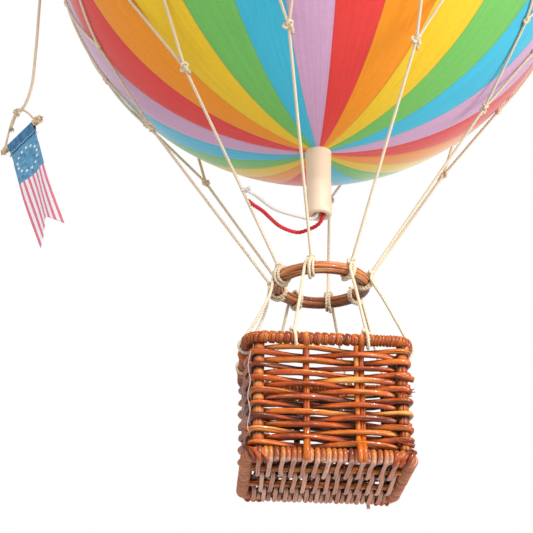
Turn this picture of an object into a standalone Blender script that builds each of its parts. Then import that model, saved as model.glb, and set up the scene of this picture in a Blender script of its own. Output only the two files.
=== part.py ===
"""Hanging model of a hot air balloon: a rainbow ball in a string net over a wicker basket.

Metres, +Z up. The origin is the hang point, inside the top of the hang eye. The front is -Y and
angles round the balloon are counted in degrees from +X towards the front.
"""
import math
from collections import namedtuple

import bmesh
import bpy
from mathutils import Euler, Vector

GAP = 0.0003                    # air left between pieces that touch

# Hang eye and crown, at the top
EYE_RADIUS = 0.005
EYE_WIRE = 0.0009
SHANK_LENGTH = 0.003
CROWN_RADIUS = 0.017
CROWN_THICKNESS = 0.0016
CROWN_STEM_RADIUS = 0.004
CROWN_STEM_LENGTH = 0.008
CROWN_BOSS = 0.0015             # flat boss that the eye stands on

# Ball
BALL_RADIUS = 0.160
BALL_WALL = 0.002
BALL_HOLE_TOP = CROWN_STEM_RADIUS + GAP
BALL_STEPS = 48                 # two steps to a gore
BALL_RINGS = (18, 8)            # outside and inside
GORE_TURN = 5.84                # the violet and red gores meet this far right of the front
EYE_Z = EYE_WIRE - EYE_RADIUS
SHANK_Z = EYE_Z - EYE_RADIUS - SHANK_LENGTH
BALL_Z = SHANK_Z - GAP - CROWN_BOSS - CROWN_THICKNESS - GAP - BALL_RADIUS

# Neck tube under the ball
NECK_RADIUS = 0.0070
NECK_BORE = 0.0035
NECK_END = BALL_Z - 0.2004
NECK_INSIDE = 0.006             # how far the tube reaches up into the ball
BALL_HOLE_BOTTOM = NECK_RADIUS + GAP

# Load ring, a bundle of canes
RING_RADIUS = 0.0242
RING_CANE = 0.0035
RING_LOBES = 7
RING_Z = BALL_Z - 0.2432

# String
STRING = 0.00085                # radius of the net's string
LASH_TURNS = 3
LASH_INNER = RING_CANE + 0.00048
STAY_SPREAD = 26.0              # half the angle between a stay's two legs
STAY_KNOT = 0.0021              # radius of the knot where they part

# One row for each string round the ring. ring: where it is lashed. knot and out: where its stay
# parts into two legs, the angle and the distance from the ball's centre in ball radii.
# rim_x and rim_y: where its basket line lands on the rim, in the basket's own axes.
Run = namedtuple("Run", "ring knot out rim_x rim_y")
RUNS = (
    Run(12, 8, 1.060, 0.0410, -0.0260),
    Run(52, 55, 1.060, 0.0195, -0.0370),
    Run(101, 98, 1.060, -0.0135, -0.0370),
    Run(146, 140, 1.060, -0.0410, -0.0230),
    Run(195, 182, 1.060, -0.0410, 0.0080),
    Run(235, 223, 1.073, -0.0170, 0.0370),
    Run(280, 277, 1.070, 0.0130, 0.0370),
    Run(322, 319, 1.081, 0.0410, 0.0140),
)
KNOT_BELOW = 55.0               # a knot lies this many degrees below the ball's equator

# Basket
BASKET_TURN = 5.5               # the basket hangs a little turned
BASKET_HALF_X = 0.044
BASKET_HALF_Y = 0.040
RIM_CANE = 0.0030
RIM_Z = BALL_Z - 0.2894
FOOT_CANE = 0.0033
FOOT_Z = BALL_Z - 0.3508
CORNER_RADIUS = 0.009
RIM_PITCH = 0.0038              # the rim is bound with turns of cane this far apart
FOOT_PITCH = 0.00275            # and the foot with the ends of the floor's rods
BINDING_DIP = 0.13              # how much thinner both are between two turns
POST_RADIUS = 0.003
POST_INSET = 0.0060
STAKE = 0.0016                  # radius of the rods that stand in the walls
WALL_ROWS = 16
WALL_STAKES = {                 # each wall's stakes, seen from outside: place and number of rods
    "front": ((-0.0112, 1), (0.0156, 2)),
    "right": ((-0.0118, 1), (0.0122, 1)),
    "back": ((-0.0125, 2), (0.0110, 1)),
    "left": ((-0.0120, 1), (0.0115, 1)),
}
WEAVE_THICKNESS = 0.0026
WEAVE_SWAY = 0.0017
FLOOR_ROWS = 13
FLOOR_SPANS = 4
FLOOR_THICKNESS = 0.0022
FLOOR_SWAY = 0.0009

# Pennants, one on each side of the ball
PENNANT_SIDES = (("left", 0.0), ("right", 180.0))
TIE_ANGLE = 169.7
TIE_KNOT = 0.0017
FLAG_SIZE = (0.021, 0.072)     # width, and length under the sleeve's seam
FLAG_SLEEVE = 0.0070            # height of the sleeve, with the stick in its top
FLAG_NOTCH = 0.013
FLAG_THICKNESS = 0.0008
FLAG_TURN = -35.6               # which way the flag's width points, seen from above
FLAG_TILT = 22.4                # how far its stick slopes
FLAG_TOP = (-0.1659, -0.02095, BALL_Z - 0.1621)
STICK_RADIUS = 0.0010
STICK_LENGTH = 0.0275

# Route of a pennant's string from its tie to its bridle: x, y, and z below the ball's centre
PENNANT_ROUTE = (
    (-0.1621, -0.0295, 0.0010), (-0.1621, -0.0295, -0.0200), (-0.1620, -0.0297, -0.0400),
    (-0.1617, -0.0300, -0.0620), (-0.1614, -0.0305, -0.0800), (-0.1611, -0.0309, -0.0960),
    (-0.1611, -0.0309, -0.1090), (-0.1612, -0.0308, -0.1195), (-0.1617, -0.0302, -0.1280),
    (-0.1630, -0.0289, -0.1335), (-0.1648, -0.0268, -0.1375), (-0.1672, -0.0242, -0.1402),
    (-0.1698, -0.0216, -0.1413),
)
BRIDLE_TOP = (-0.1720, -0.0195, -0.1412)

# Routes of the two short cords that hang out of the neck tube: x, y, and z below the ball's centre
RED_CORD = 0.00105
RED_ROUTE = (
    (0.0018, 0.0009, -0.1960), (0.0018, 0.0010, -0.1985), (0.0015, 0.0014, -0.2008),
    (0.0005, 0.0024, -0.2030), (-0.0018, 0.0042, -0.2044), (-0.0048, 0.0062, -0.2050),
    (-0.0083, 0.0084, -0.2054), (-0.0118, 0.0098, -0.2056), (-0.0150, 0.0088, -0.2056),
    (-0.0185, 0.0065, -0.2054), (-0.0217, 0.0035, -0.2051), (-0.0242, -0.0002, -0.2049),
    (-0.0264, -0.0045, -0.2046), (-0.0287, -0.0092, -0.2043), (-0.0309, -0.0135, -0.2039),
    (-0.0335, -0.0172, -0.2036), (-0.0362, -0.0208, -0.2033), (-0.0384, -0.0246, -0.2030),
)
WHITE_CORD = 0.0009
WHITE_ROUTE = (
    (-0.0009, -0.0009, -0.1960), (-0.0010, -0.0009, -0.1985), (-0.0016, -0.0010, -0.2006),
    (-0.0030, -0.0013, -0.2022), (-0.0052, -0.0021, -0.2031), (-0.0080, -0.0042, -0.2036),
    (-0.0113, -0.0068, -0.2038), (-0.0155, -0.0096, -0.2040), (-0.0197, -0.0127, -0.2041),
    (-0.0232, -0.0160, -0.2043), (-0.0262, -0.0200, -0.2045), (-0.0288, -0.0248, -0.2047),
    (-0.0311, -0.0296, -0.2049), (-0.0334, -0.0343, -0.2051), (-0.0358, -0.0384, -0.2053),
    (-0.0381, -0.0413, -0.2055),
)

# Colours, red, green, blue
RAINBOW = (
    ("red", (0.78, 0.10, 0.08)),
    ("orange", (0.90, 0.34, 0.04)),
    ("yellow", (0.92, 0.62, 0.10)),
    ("green", (0.25, 0.60, 0.18)),
    ("blue", (0.10, 0.50, 0.68)),
    ("violet", (0.62, 0.36, 0.58)),
)
CREAM = (0.90, 0.78, 0.58)
STRING_CREAM = (0.78, 0.62, 0.40)
CANE_DARK = (0.16, 0.06, 0.03)
CANE = (0.42, 0.13, 0.03)
CANE_LIGHT = (0.55, 0.22, 0.06)
CANE_MATTE = (0.36, 0.17, 0.11)
BRASS = (0.70, 0.50, 0.22)
WOOD = (0.35, 0.20, 0.10)
CORD_RED = (0.60, 0.03, 0.04)
CORD_WHITE = (0.85, 0.83, 0.80)
FLAG_BLUE = (0.05, 0.23, 0.42)

for existing in list(bpy.data.objects):
    bpy.data.objects.remove(existing, do_unlink=True)

balloon = bpy.data.collections.new("balloon")
cutters = bpy.data.collections.new("cutters")
bpy.context.scene.collection.children.link(balloon)
bpy.context.scene.collection.children.link(cutters)


def material(name, colour, roughness=0.6, metallic=0.0):
    """A Principled material of one colour."""
    made = bpy.data.materials.get(name) or bpy.data.materials.new(name)
    made.use_nodes = True
    made.diffuse_color = (*colour, 1.0)
    shader = made.node_tree.nodes["Principled BSDF"]
    shader.inputs["Base Color"].default_value = (*colour, 1.0)
    shader.inputs["Roughness"].default_value = roughness
    shader.inputs["Metallic"].default_value = metallic
    return made


def place(name, data, finish, collection=balloon):
    """Put mesh or curve data in the scene as one named object with its material."""
    made = bpy.data.objects.new(name, data)
    collection.objects.link(made)
    if finish:
        data.materials.append(finish)
    return made


def adopt(name, finish, collection=balloon):
    """Name the primitive that was just added and move it to a collection."""
    made = bpy.context.object
    made.name = name
    for owner in list(made.users_collection):
        owner.objects.unlink(made)
    collection.objects.link(made)
    if finish:
        made.data.materials.append(finish)
    return made


def outward(angle, radius, height):
    """The point at an angle round the balloon, a distance from its axis and a height."""
    turn = math.radians(angle)
    return Vector((radius * math.cos(turn), -radius * math.sin(turn), height))


def under_ball(points):
    """Points whose heights are counted from the ball's centre, as points of the model."""
    return [Vector((x, y, BALL_Z + z)) for x, y, z in points]


def evaluated_mesh(made):
    """The mesh that an object's modifiers or curve make."""
    bpy.context.view_layer.update()
    graph = bpy.context.evaluated_depsgraph_get()
    return bpy.data.meshes.new_from_object(made.evaluated_get(graph))


def turned(name, profile, finish, steps, closed=True):
    """A turned shape: a profile of (radius, height) points, swept by Screw round Z."""
    mesh = bpy.data.meshes.new(name)
    links = [(i, i + 1) for i in range(len(profile) - 1)]
    if closed:
        links.append((len(profile) - 1, 0))
    mesh.from_pydata([(radius, 0.0, height) for radius, height in profile], links, [])
    made = place(name, mesh, finish)
    screw = made.modifiers.new("Turn", "SCREW")
    screw.steps = steps
    screw.render_steps = steps
    screw.use_merge_vertices = True
    screw.merge_threshold = 0.00001
    return made


def smooth_points(points, spacing):
    """Points at an even spacing on the smooth curve through the given points."""
    fine = []
    ends = [2 * points[0] - points[1]] + list(points) + [2 * points[-1] - points[-2]]
    for a, b, c, d in zip(ends, ends[1:], ends[2:], ends[3:]):
        for step in range(16):
            t = step / 16
            fine.append(0.5 * (2 * b + (c - a) * t + (2 * a - 5 * b + 4 * c - d) * t * t
                               + (3 * b - a - 3 * c + d) * t ** 3))
    fine.append(points[-1])
    length = sum((q - p).length for p, q in zip(fine, fine[1:]))
    count = max(2, round(length / spacing))
    even, walked, target = [fine[0]], 0.0, length / count
    for p, q in zip(fine, fine[1:]):
        step = (q - p).length
        while step > 0 and walked + step >= target * len(even) and len(even) < count:
            even.append(p.lerp(q, (target * len(even) - walked) / step))
        walked += step
    even.append(fine[-1])
    return even


def tube(name, points, radius, finish, resolution=2, cyclic=False, collection=balloon):
    """A round tube along points."""
    data = bpy.data.curves.new(name, "CURVE")
    data.dimensions = "3D"
    data.bevel_depth = radius
    data.bevel_resolution = resolution
    data.use_fill_caps = not cyclic
    line = data.splines.new("POLY")
    line.points.add(len(points) - 1)
    for point, place_at in zip(line.points, points):
        point.co = (*place_at, 1.0)
    line.use_cyclic_u = cyclic
    return place(name, data, finish, collection)


def as_mesh(made):
    """A curve object turned into a mesh object of the same name, its caps welded."""
    name = made.name
    mesh = evaluated_mesh(made)
    work = bmesh.new()
    work.from_mesh(mesh)
    bmesh.ops.remove_doubles(work, verts=work.verts, dist=0.000001)
    bmesh.ops.recalc_face_normals(work, faces=work.faces)
    work.to_mesh(mesh)
    work.free()
    solid = bpy.data.objects.new(name + "_solid", mesh)
    solid.matrix_world = made.matrix_world
    made.users_collection[0].objects.link(solid)
    bpy.data.objects.remove(made, do_unlink=True)
    solid.name = name
    return solid


def join(target, others):
    """Boolean union of mesh objects: the others become cutters of the first."""
    for other in others:
        union = target.modifiers.new("Join " + other.name, "BOOLEAN")
        union.operation = "UNION"
        union.object = other
        other.hide_render = True
        other.display_type = "WIRE"
    return target


def smooth(made, degrees=35):
    """Round shading with sharp edges kept."""
    made.data.shade_smooth()
    made.data.set_sharp_from_angle(angle=math.radians(degrees))
    return made


# Ball

def make_ball():
    """A thin ball, open at its two poles, striped in 24 gores."""
    outer_top = math.asin(BALL_HOLE_TOP / BALL_RADIUS)
    outer_bottom = math.pi - math.asin((BALL_HOLE_BOTTOM + GAP) / BALL_RADIUS)
    profile = []
    for radius, start, end, rings in (
            (BALL_RADIUS, outer_top, outer_bottom, BALL_RINGS[0]),
            (BALL_RADIUS - BALL_WALL, outer_bottom, outer_top, BALL_RINGS[1])):
        for ring in range(rings + 1):
            angle = start + (end - start) * ring / rings
            profile.append((radius * math.sin(angle), radius * math.cos(angle)))
    draft = turned("draft", profile, None, BALL_STEPS)
    ball = place("envelope", evaluated_mesh(draft), None)
    bpy.data.objects.remove(draft, do_unlink=True)
    for colour, value in RAINBOW:
        ball.data.materials.append(material("cloth_" + colour, value, 0.7))
    gore = 2 * math.pi / 24
    for face in ball.data.polygons:
        turn = math.atan2(face.center.y, face.center.x) % (2 * math.pi)
        face.material_index = int(turn / gore) % len(RAINBOW)
    ball.location.z = BALL_Z
    ball.rotation_euler.z = math.radians(GORE_TURN - 90)
    return smooth(ball)


def make_crown():
    """A cap on the ball's top pole, with a stem that plugs the hole there."""
    under = BALL_RADIUS + GAP
    over = under + CROWN_THICKNESS
    reach = CROWN_RADIUS / under
    arc = [reach * i / 4 for i in range(5)]
    profile = [(0.0, over + CROWN_BOSS), (0.004, over + CROWN_BOSS), (0.005, over - 0.0001)]
    profile += [(over * math.sin(a), over * math.cos(a)) for a in arc[2:]]
    profile += [(under * math.sin(a), under * math.cos(a)) for a in reversed(arc[2:])]
    stem = CROWN_STEM_RADIUS - GAP
    profile += [(stem, under - 0.0001), (stem, under - CROWN_STEM_LENGTH),
                (0.0, under - CROWN_STEM_LENGTH)]
    crown = turned("crown_cap", profile, material("cloth_red", RAINBOW[0][1]), 24, closed=False)
    crown.location.z = BALL_Z
    return crown


def make_eye():
    """An upright ring that the balloon hangs from, on a short shank."""
    bpy.ops.mesh.primitive_torus_add(major_segments=20, minor_segments=8, major_radius=EYE_RADIUS,
                                     minor_radius=EYE_WIRE, location=(0, 0, EYE_Z),
                                     rotation=(math.pi / 2, 0, 0))
    eye = adopt("hang_eye", material("brass", BRASS, 0.3, 1.0))
    top = EYE_Z - EYE_RADIUS
    bpy.ops.mesh.primitive_cylinder_add(vertices=12, radius=0.0013, depth=SHANK_LENGTH,
                                        location=(0, 0, top - SHANK_LENGTH / 2))
    return join(eye, [adopt("eye_shank", None, cutters)])


def make_neck():
    """The straight tube that hangs out of the ball's bottom pole."""
    top = -math.sqrt(BALL_RADIUS ** 2 - NECK_RADIUS ** 2) + NECK_INSIDE
    end = NECK_END - BALL_Z
    profile = [(NECK_RADIUS, top), (NECK_RADIUS, end), (NECK_BORE, end), (NECK_BORE, top)]
    neck = turned("neck_tube", profile, material("paper_tube", CREAM, 0.5), 28)
    neck.location.z = BALL_Z
    return neck


# Load ring and strings

def make_ring():
    """The load ring: canes laid side by side, so its section is lobed."""
    count = RING_LOBES * 2
    profile = []
    for i in range(count):
        angle = -2 * math.pi * i / count
        radius = RING_CANE * (0.94 + 0.06 * math.cos(RING_LOBES * angle))
        profile.append((RING_RADIUS + radius * math.cos(angle), radius * math.sin(angle)))
    ring = turned("load_ring", profile, material("cane_dark", CANE_DARK, 0.45), 28)
    ring.location.z = RING_Z
    return ring


def lashing(name, angle):
    """Turns of string laid round the ring at an angle, as one ridged band."""
    width = 2 * STRING * LASH_TURNS
    outer = LASH_INNER + 2 * STRING
    profile = [(LASH_INNER, -width / 2), (LASH_INNER, width / 2)]
    for turn in range(LASH_TURNS):
        high = width / 2 - 2 * STRING * turn
        profile += [(outer - STRING, high), (outer, high - STRING)]
    profile.append((outer - STRING, -width / 2))
    band = turned(name, profile, material("string", STRING_CREAM, 0.85), 12)
    place_at = outward(angle, RING_RADIUS, RING_Z)
    band.location = place_at
    band.rotation_euler = Euler((math.pi / 2, 0, math.radians(-angle)))
    return band


def make_basket_line(number, run, rim_point):
    """A string lashed round the ring that falls to the basket's rim."""
    band = lashing(f"basket_line_{number}", run.ring)
    start = outward(run.ring, RING_RADIUS, RING_Z) + Vector((0, 0, -LASH_INNER - STRING))
    fall = tube(f"line_fall_{number}", [start, rim_point], STRING, None, collection=cutters)
    return join(band, [as_mesh(fall)])


def make_stay(number, run):
    """A stay from the ring up to a knot, where it parts into two legs that lie on the ball."""
    string = material("string", STRING_CREAM, 0.85)
    centre = Vector((0, 0, BALL_Z))
    below = math.radians(KNOT_BELOW)
    toward = outward(run.knot, math.cos(below), -math.sin(below))
    knot = centre + toward * run.out * BALL_RADIUS
    foot = outward(run.ring, RING_RADIUS, RING_Z)
    trunk = (knot - foot).normalized()
    foot = foot + trunk * (LASH_INNER + 2 * STRING + GAP)
    lie = BALL_RADIUS + STRING + GAP / 3
    reach = math.acos(lie / (run.out * BALL_RADIUS))
    north = (Vector((0, 0, 1)) - toward * toward.z).normalized()
    east = toward.cross(north)
    stay = as_mesh(tube(f"stay_{number}", [foot, knot - trunk * STAY_KNOT * 0.4], STRING, string))
    bpy.ops.mesh.primitive_uv_sphere_add(segments=10, ring_count=7, radius=STAY_KNOT,
                                         location=knot)
    parts = [adopt(f"stay_knot_{number}", None, cutters)]
    for side in (-1, 1):
        turn = math.radians(STAY_SPREAD) * side
        way = math.cos(turn) * north + math.sin(turn) * east
        end = centre + lie * (math.cos(reach) * toward + math.sin(reach) * way)
        start = knot + (end - knot).normalized() * STAY_KNOT * 0.4
        leg = tube(f"stay_leg_{number}{'ab'[side > 0]}", [start, end], STRING, None,
                   collection=cutters)
        parts.append(as_mesh(leg))
    return join(stay, parts)


# Basket

def loop_points(half_x, half_y, corner, steps=8):
    """A rectangle with round corners, as points in order."""
    points = []
    for cx, cy, start in ((1, 1, 0), (-1, 1, 90), (-1, -1, 180), (1, -1, 270)):
        for i in range(steps + 1):
            turn = math.radians(start + 90 * i / steps)
            points.append(Vector((cx * (half_x - corner) + corner * math.cos(turn),
                                  cy * (half_y - corner) + corner * math.sin(turn), 0)))
    return points


def round_corner(x, z, half_x, half_z, corner):
    """A point of a rectangle, drawn in so that the rectangle's corners become round."""
    over_x = abs(x) - (half_x - corner)
    over_z = abs(z) - (half_z - corner)
    if min(over_x, over_z) <= 0:
        return x, z
    pull = 1 - max(over_x, over_z) / math.hypot(over_x, over_z)
    return x - math.copysign(over_x * pull, x), z - math.copysign(over_z * pull, z)


def bound_loop(name, half_x, half_y, radius, pitch, finish):
    """A level loop of cane bound with turns of thinner cane, so it is beaded all the way round."""
    corners = loop_points(half_x - radius, half_y - radius, CORNER_RADIUS)
    corners.append(corners[0])
    length = sum((q - p).length for p, q in zip(corners, corners[1:]))
    count = 2 * round(length / pitch)
    points, walked = [], 0.0
    for p, q in zip(corners, corners[1:]):
        step = (q - p).length
        while len(points) < count and walked + step > length / count * len(points):
            points.append(p.lerp(q, (length / count * len(points) - walked) / step))
        walked += step
    loop = tube(name, points, radius, finish, cyclic=True)
    for index, point in enumerate(loop.data.splines[0].points):
        point.radius = 1.0 - BINDING_DIP * (index % 2)
    return loop


def woven_panel(name, width, height, rows, passes, thickness, sway, finish, corner=0.0, stakes=(),
                first=1):
    """A woven sheet, upright in XZ: a row passes in front at one of the passes and behind at the next.

    Stakes are (place, number of rods). First is -1 where the lowest row starts behind."""
    columns = list(passes) + [(a + b) / 2 for a, b in zip(passes, passes[1:])]
    raised = []
    for place_at, rods in stakes:
        half = STAKE * (2 * rods - 1)
        columns += [place_at - half, place_at - half * 0.6, place_at + half * 0.6, place_at + half]
        raised.append((place_at - half * 0.7, place_at + half * 0.7))
    columns.sort()
    work = bmesh.new()
    sheets = ([], [])
    for across in columns:
        span = max(i for i, start in enumerate(passes[:-1]) if across >= start - 1e-9)
        wave = math.cos(math.pi * (span + (across - passes[span]) / (passes[span + 1] - passes[span])))
        stake = STAKE if any(low < across < high for low, high in raised) else 0.0
        for sheet in sheets:
            sheet.append([])
        for level in range(rows * 2 + 1):
            side = first * (1 if level % 4 == 1 else -1) if level % 2 else 0
            x, z = round_corner(across, (level / (rows * 2) - 0.5) * height, width / 2, height / 2,
                                corner)
            middle = side * sway * wave
            for sheet, y in zip(sheets, (min(middle - thickness / 2, -stake),
                                         max(middle + thickness / 2, stake))):
                sheet[-1].append(work.verts.new((x, y, z)))
    last, top = len(columns) - 1, rows * 2
    front, back = sheets
    for i in range(last):
        for j in range(top):
            for sheet in sheets:
                work.faces.new((sheet[i][j], sheet[i + 1][j], sheet[i + 1][j + 1], sheet[i][j + 1]))
        for j in (0, top):
            work.faces.new((front[i][j], front[i + 1][j], back[i + 1][j], back[i][j]))
    for i in (0, last):
        for j in range(top):
            work.faces.new((front[i][j], front[i][j + 1], back[i][j + 1], back[i][j]))
    bmesh.ops.recalc_face_normals(work, faces=work.faces)
    mesh = bpy.data.meshes.new(name)
    work.to_mesh(mesh)
    work.free()
    return place(name, mesh, finish)


def make_basket():
    """The basket's pieces, all under one empty that turns it; gives that empty."""
    turn = bpy.data.objects.new("basket_turn", None)
    balloon.objects.link(turn)
    turn.rotation_euler.z = math.radians(BASKET_TURN)
    cane = material("cane", CANE, 0.35)
    light = material("cane_wrap", CANE_LIGHT, 0.35)
    matte = material("cane_matte", CANE_MATTE, 0.6)
    pieces = []
    for name, radius, pitch, height, finish in (
            ("basket_rim", RIM_CANE, RIM_PITCH, RIM_Z, light),
            ("basket_foot", FOOT_CANE, FOOT_PITCH, FOOT_Z, matte)):
        loop = bound_loop(name, BASKET_HALF_X, BASKET_HALF_Y, radius, pitch, finish)
        loop.location.z = height
        pieces.append(loop)
    top = RIM_Z - RIM_CANE - GAP
    bottom = FOOT_Z + FOOT_CANE + GAP
    post_x = BASKET_HALF_X - POST_INSET
    post_y = BASKET_HALF_Y - POST_INSET
    for name, x, y in (("front_left", -1, -1), ("front_right", 1, -1),
                       ("back_left", -1, 1), ("back_right", 1, 1)):
        bpy.ops.mesh.primitive_cylinder_add(vertices=12, radius=POST_RADIUS, depth=top - bottom,
                                            location=(x * post_x, y * post_y,
                                                      (top + bottom) / 2))
        pieces.append(adopt("basket_post_" + name, cane))
    for index, (name, along, out) in enumerate((("front", post_x, post_y), ("right", post_y, post_x),
                                                ("back", post_x, post_y), ("left", post_y, post_x))):
        half = along - POST_RADIUS - GAP
        stakes = WALL_STAKES[name]
        passes = [-half] + [place_at for place_at, rods in stakes] + [half]
        wall = woven_panel("basket_wall_" + name, 2 * half, top - bottom, WALL_ROWS, passes,
                           WEAVE_THICKNESS, WEAVE_SWAY, cane, stakes=stakes,
                           first=1 if index % 2 else -1)
        face = math.radians(90 * index)
        wall.location = (out * math.sin(face), -out * math.cos(face), (top + bottom) / 2)
        wall.rotation_euler.z = face
        pieces.append(wall)
    inner_x = BASKET_HALF_X - 2 * FOOT_CANE - GAP
    inner_y = BASKET_HALF_Y - 2 * FOOT_CANE - GAP
    passes = [inner_x * (2 * i / FLOOR_SPANS - 1) for i in range(FLOOR_SPANS + 1)]
    floor = woven_panel("basket_floor", 2 * inner_x, 2 * inner_y, FLOOR_ROWS, passes,
                        FLOOR_THICKNESS, FLOOR_SWAY, matte, CORNER_RADIUS - FOOT_CANE)
    floor.rotation_euler.x = math.pi / 2
    floor.location.z = FOOT_Z
    pieces.append(floor)
    for piece in pieces:
        piece.parent = turn
    return turn


# Pennants and neck cords

def make_pennant(side, turn_degrees):
    """A string with a swallow-tailed flag on a short stick, hung from a knot on the net."""
    string = material("string", STRING_CREAM, 0.85)
    turn = bpy.data.objects.new(f"pennant_{side}", None)
    balloon.objects.link(turn)
    turn.rotation_euler.z = math.radians(turn_degrees)
    tie = outward(TIE_ANGLE, BALL_RADIUS + GAP + TIE_KNOT, BALL_Z)
    bpy.ops.mesh.primitive_uv_sphere_add(segments=12, ring_count=8, radius=TIE_KNOT, location=tie)
    knot = adopt(f"pennant_tie_{side}", string)
    route = under_ball(PENNANT_ROUTE)
    cord = tube(f"pennant_cord_{side}", smooth_points(route, 0.005), STRING, string)
    stick_axes = Euler((0, math.radians(-FLAG_TILT), math.radians(FLAG_TURN)))
    along = stick_axes.to_matrix() @ Vector((1, 0, 0))
    down = stick_axes.to_matrix() @ Vector((0, 0, -1))
    middle = Vector(FLAG_TOP) - down * (FLAG_SLEEVE - GAP - STICK_RADIUS)
    stick = tube(f"pennant_stick_{side}", [middle - along * STICK_LENGTH / 2,
                                           middle + along * STICK_LENGTH / 2],
                 STICK_RADIUS, material("stick_wood", WOOD, 0.5))
    peak = under_ball([BRIDLE_TOP])[0]
    lift = -down * (STICK_RADIUS + GAP + STRING)
    ends = [middle + along * STICK_LENGTH * part + lift for part in (-0.36, 0.42)]
    bridle = tube(f"pennant_bridle_{side}", [ends[0], ends[0].lerp(peak, 0.5), peak,
                                             ends[1].lerp(peak, 0.5) + Vector((0, 0, 0.001)),
                                             ends[1]], STRING * 0.7, string)
    width, length = FLAG_SIZE
    data = bpy.data.curves.new(f"pennant_flag_{side}", "CURVE")
    data.dimensions = "2D"
    data.fill_mode = "BOTH"
    data.extrude = FLAG_THICKNESS / 2
    outline = data.splines.new("POLY")
    high = FLAG_SLEEVE - 2 * (GAP + STICK_RADIUS)
    corners = ((-width / 2, high), (width / 2, high), (width / 2, -length),
               (0, FLAG_NOTCH - length), (-width / 2, -length))
    outline.points.add(len(corners) - 1)
    for point, (x, y) in zip(outline.points, corners):
        point.co = (x, y, 0, 1)
    outline.use_cyclic_u = True
    flag = place(f"pennant_flag_{side}", data, material("flag_cloth", FLAG_BLUE, 0.8))
    flag.location = FLAG_TOP
    flag.rotation_euler = (stick_axes.to_matrix() @ Euler((math.pi / 2, 0, 0)).to_matrix()).to_euler()
    for piece in (knot, cord, stick, bridle, flag):
        piece.parent = turn


make_ball()
make_crown()
make_eye()
make_neck()
make_ring()
basket = make_basket()
bpy.context.view_layer.update()
for number, run in enumerate(RUNS, 1):
    make_stay(number, run)
    lands = Vector((run.rim_x, run.rim_y, RIM_Z + RIM_CANE + GAP + STRING * 0.5))
    make_basket_line(number, run, basket.matrix_world @ lands)
for side, turn_degrees in PENNANT_SIDES:
    make_pennant(side, turn_degrees)
tube("neck_cord_red", smooth_points(under_ball(RED_ROUTE), 0.003), RED_CORD,
     material("cord_red", CORD_RED, 0.8))
tube("neck_cord_white", smooth_points(under_ball(WHITE_ROUTE), 0.003), WHITE_CORD,
     material("cord_white", CORD_WHITE, 0.8))
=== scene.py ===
# Looks of a hanging model of a hot air balloon: a rainbow ball in a string net, a cane ring and a
# woven basket. Metres, +Z up, the origin at the hang point, the front towards -Y. Angles round the
# balloon are degrees from +X towards the front.
import math
import random

import bmesh
import bpy
from mathutils import Matrix, Vector
from mathutils.noise import noise


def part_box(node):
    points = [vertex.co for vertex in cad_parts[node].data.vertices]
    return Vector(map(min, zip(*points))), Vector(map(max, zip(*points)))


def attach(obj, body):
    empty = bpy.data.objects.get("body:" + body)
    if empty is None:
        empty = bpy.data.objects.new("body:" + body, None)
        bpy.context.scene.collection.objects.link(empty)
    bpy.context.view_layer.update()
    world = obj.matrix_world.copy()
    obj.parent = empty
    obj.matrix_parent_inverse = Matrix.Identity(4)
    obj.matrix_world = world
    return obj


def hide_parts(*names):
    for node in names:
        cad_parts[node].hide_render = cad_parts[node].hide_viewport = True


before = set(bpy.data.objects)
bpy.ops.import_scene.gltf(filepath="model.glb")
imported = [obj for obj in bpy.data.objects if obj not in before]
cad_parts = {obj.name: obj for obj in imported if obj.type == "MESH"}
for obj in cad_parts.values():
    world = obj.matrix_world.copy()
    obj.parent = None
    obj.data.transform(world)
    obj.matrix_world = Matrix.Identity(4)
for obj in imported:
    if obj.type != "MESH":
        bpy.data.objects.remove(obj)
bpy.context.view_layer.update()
print("frame loaded,", len(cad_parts), "nodes")


# Trees: one way to add nodes, and sockets that do maths

class Wire:                                  # one output of a node
    def __init__(self, tree, node, socket):
        self.tree = tree
        self.node = node
        self.socket = socket

    def __getitem__(self, name):             # another output of the same node
        return Wire(self.tree, self.node, self.node.outputs[name])

    def maths(self, operation, *values):
        return self.tree.add("ShaderNodeMath", {"operation": operation}, dict(enumerate(values)))

    def __add__(self, other):
        return self.maths("ADD", self, other)

    def __radd__(self, other):
        return self.maths("ADD", other, self)

    def __sub__(self, other):
        return self.maths("SUBTRACT", self, other)

    def __rsub__(self, other):
        return self.maths("SUBTRACT", other, self)

    def __mul__(self, other):
        return self.maths("MULTIPLY", self, other)

    def __rmul__(self, other):
        return self.maths("MULTIPLY", other, self)

    def __truediv__(self, other):
        return self.maths("DIVIDE", self, other)

    def __gt__(self, other):
        return self.maths("GREATER_THAN", self, other)

    def __lt__(self, other):
        return self.maths("LESS_THAN", self, other)

    def wave(self):
        return self.maths("SINE", self)

    def cosine(self):
        return self.maths("COSINE", self)

    def size(self):
        return self.maths("ABSOLUTE", self)

    def wrap(self, low, high):               # folds a value round into a range
        return self.maths("WRAP", self, high, low)

    def power(self, exponent):
        return self.maths("POWER", self, exponent)

    def limit(self):                         # held between 0 and 1
        return self.tree.add("ShaderNodeClamp", {}, {"Value": self})


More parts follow.
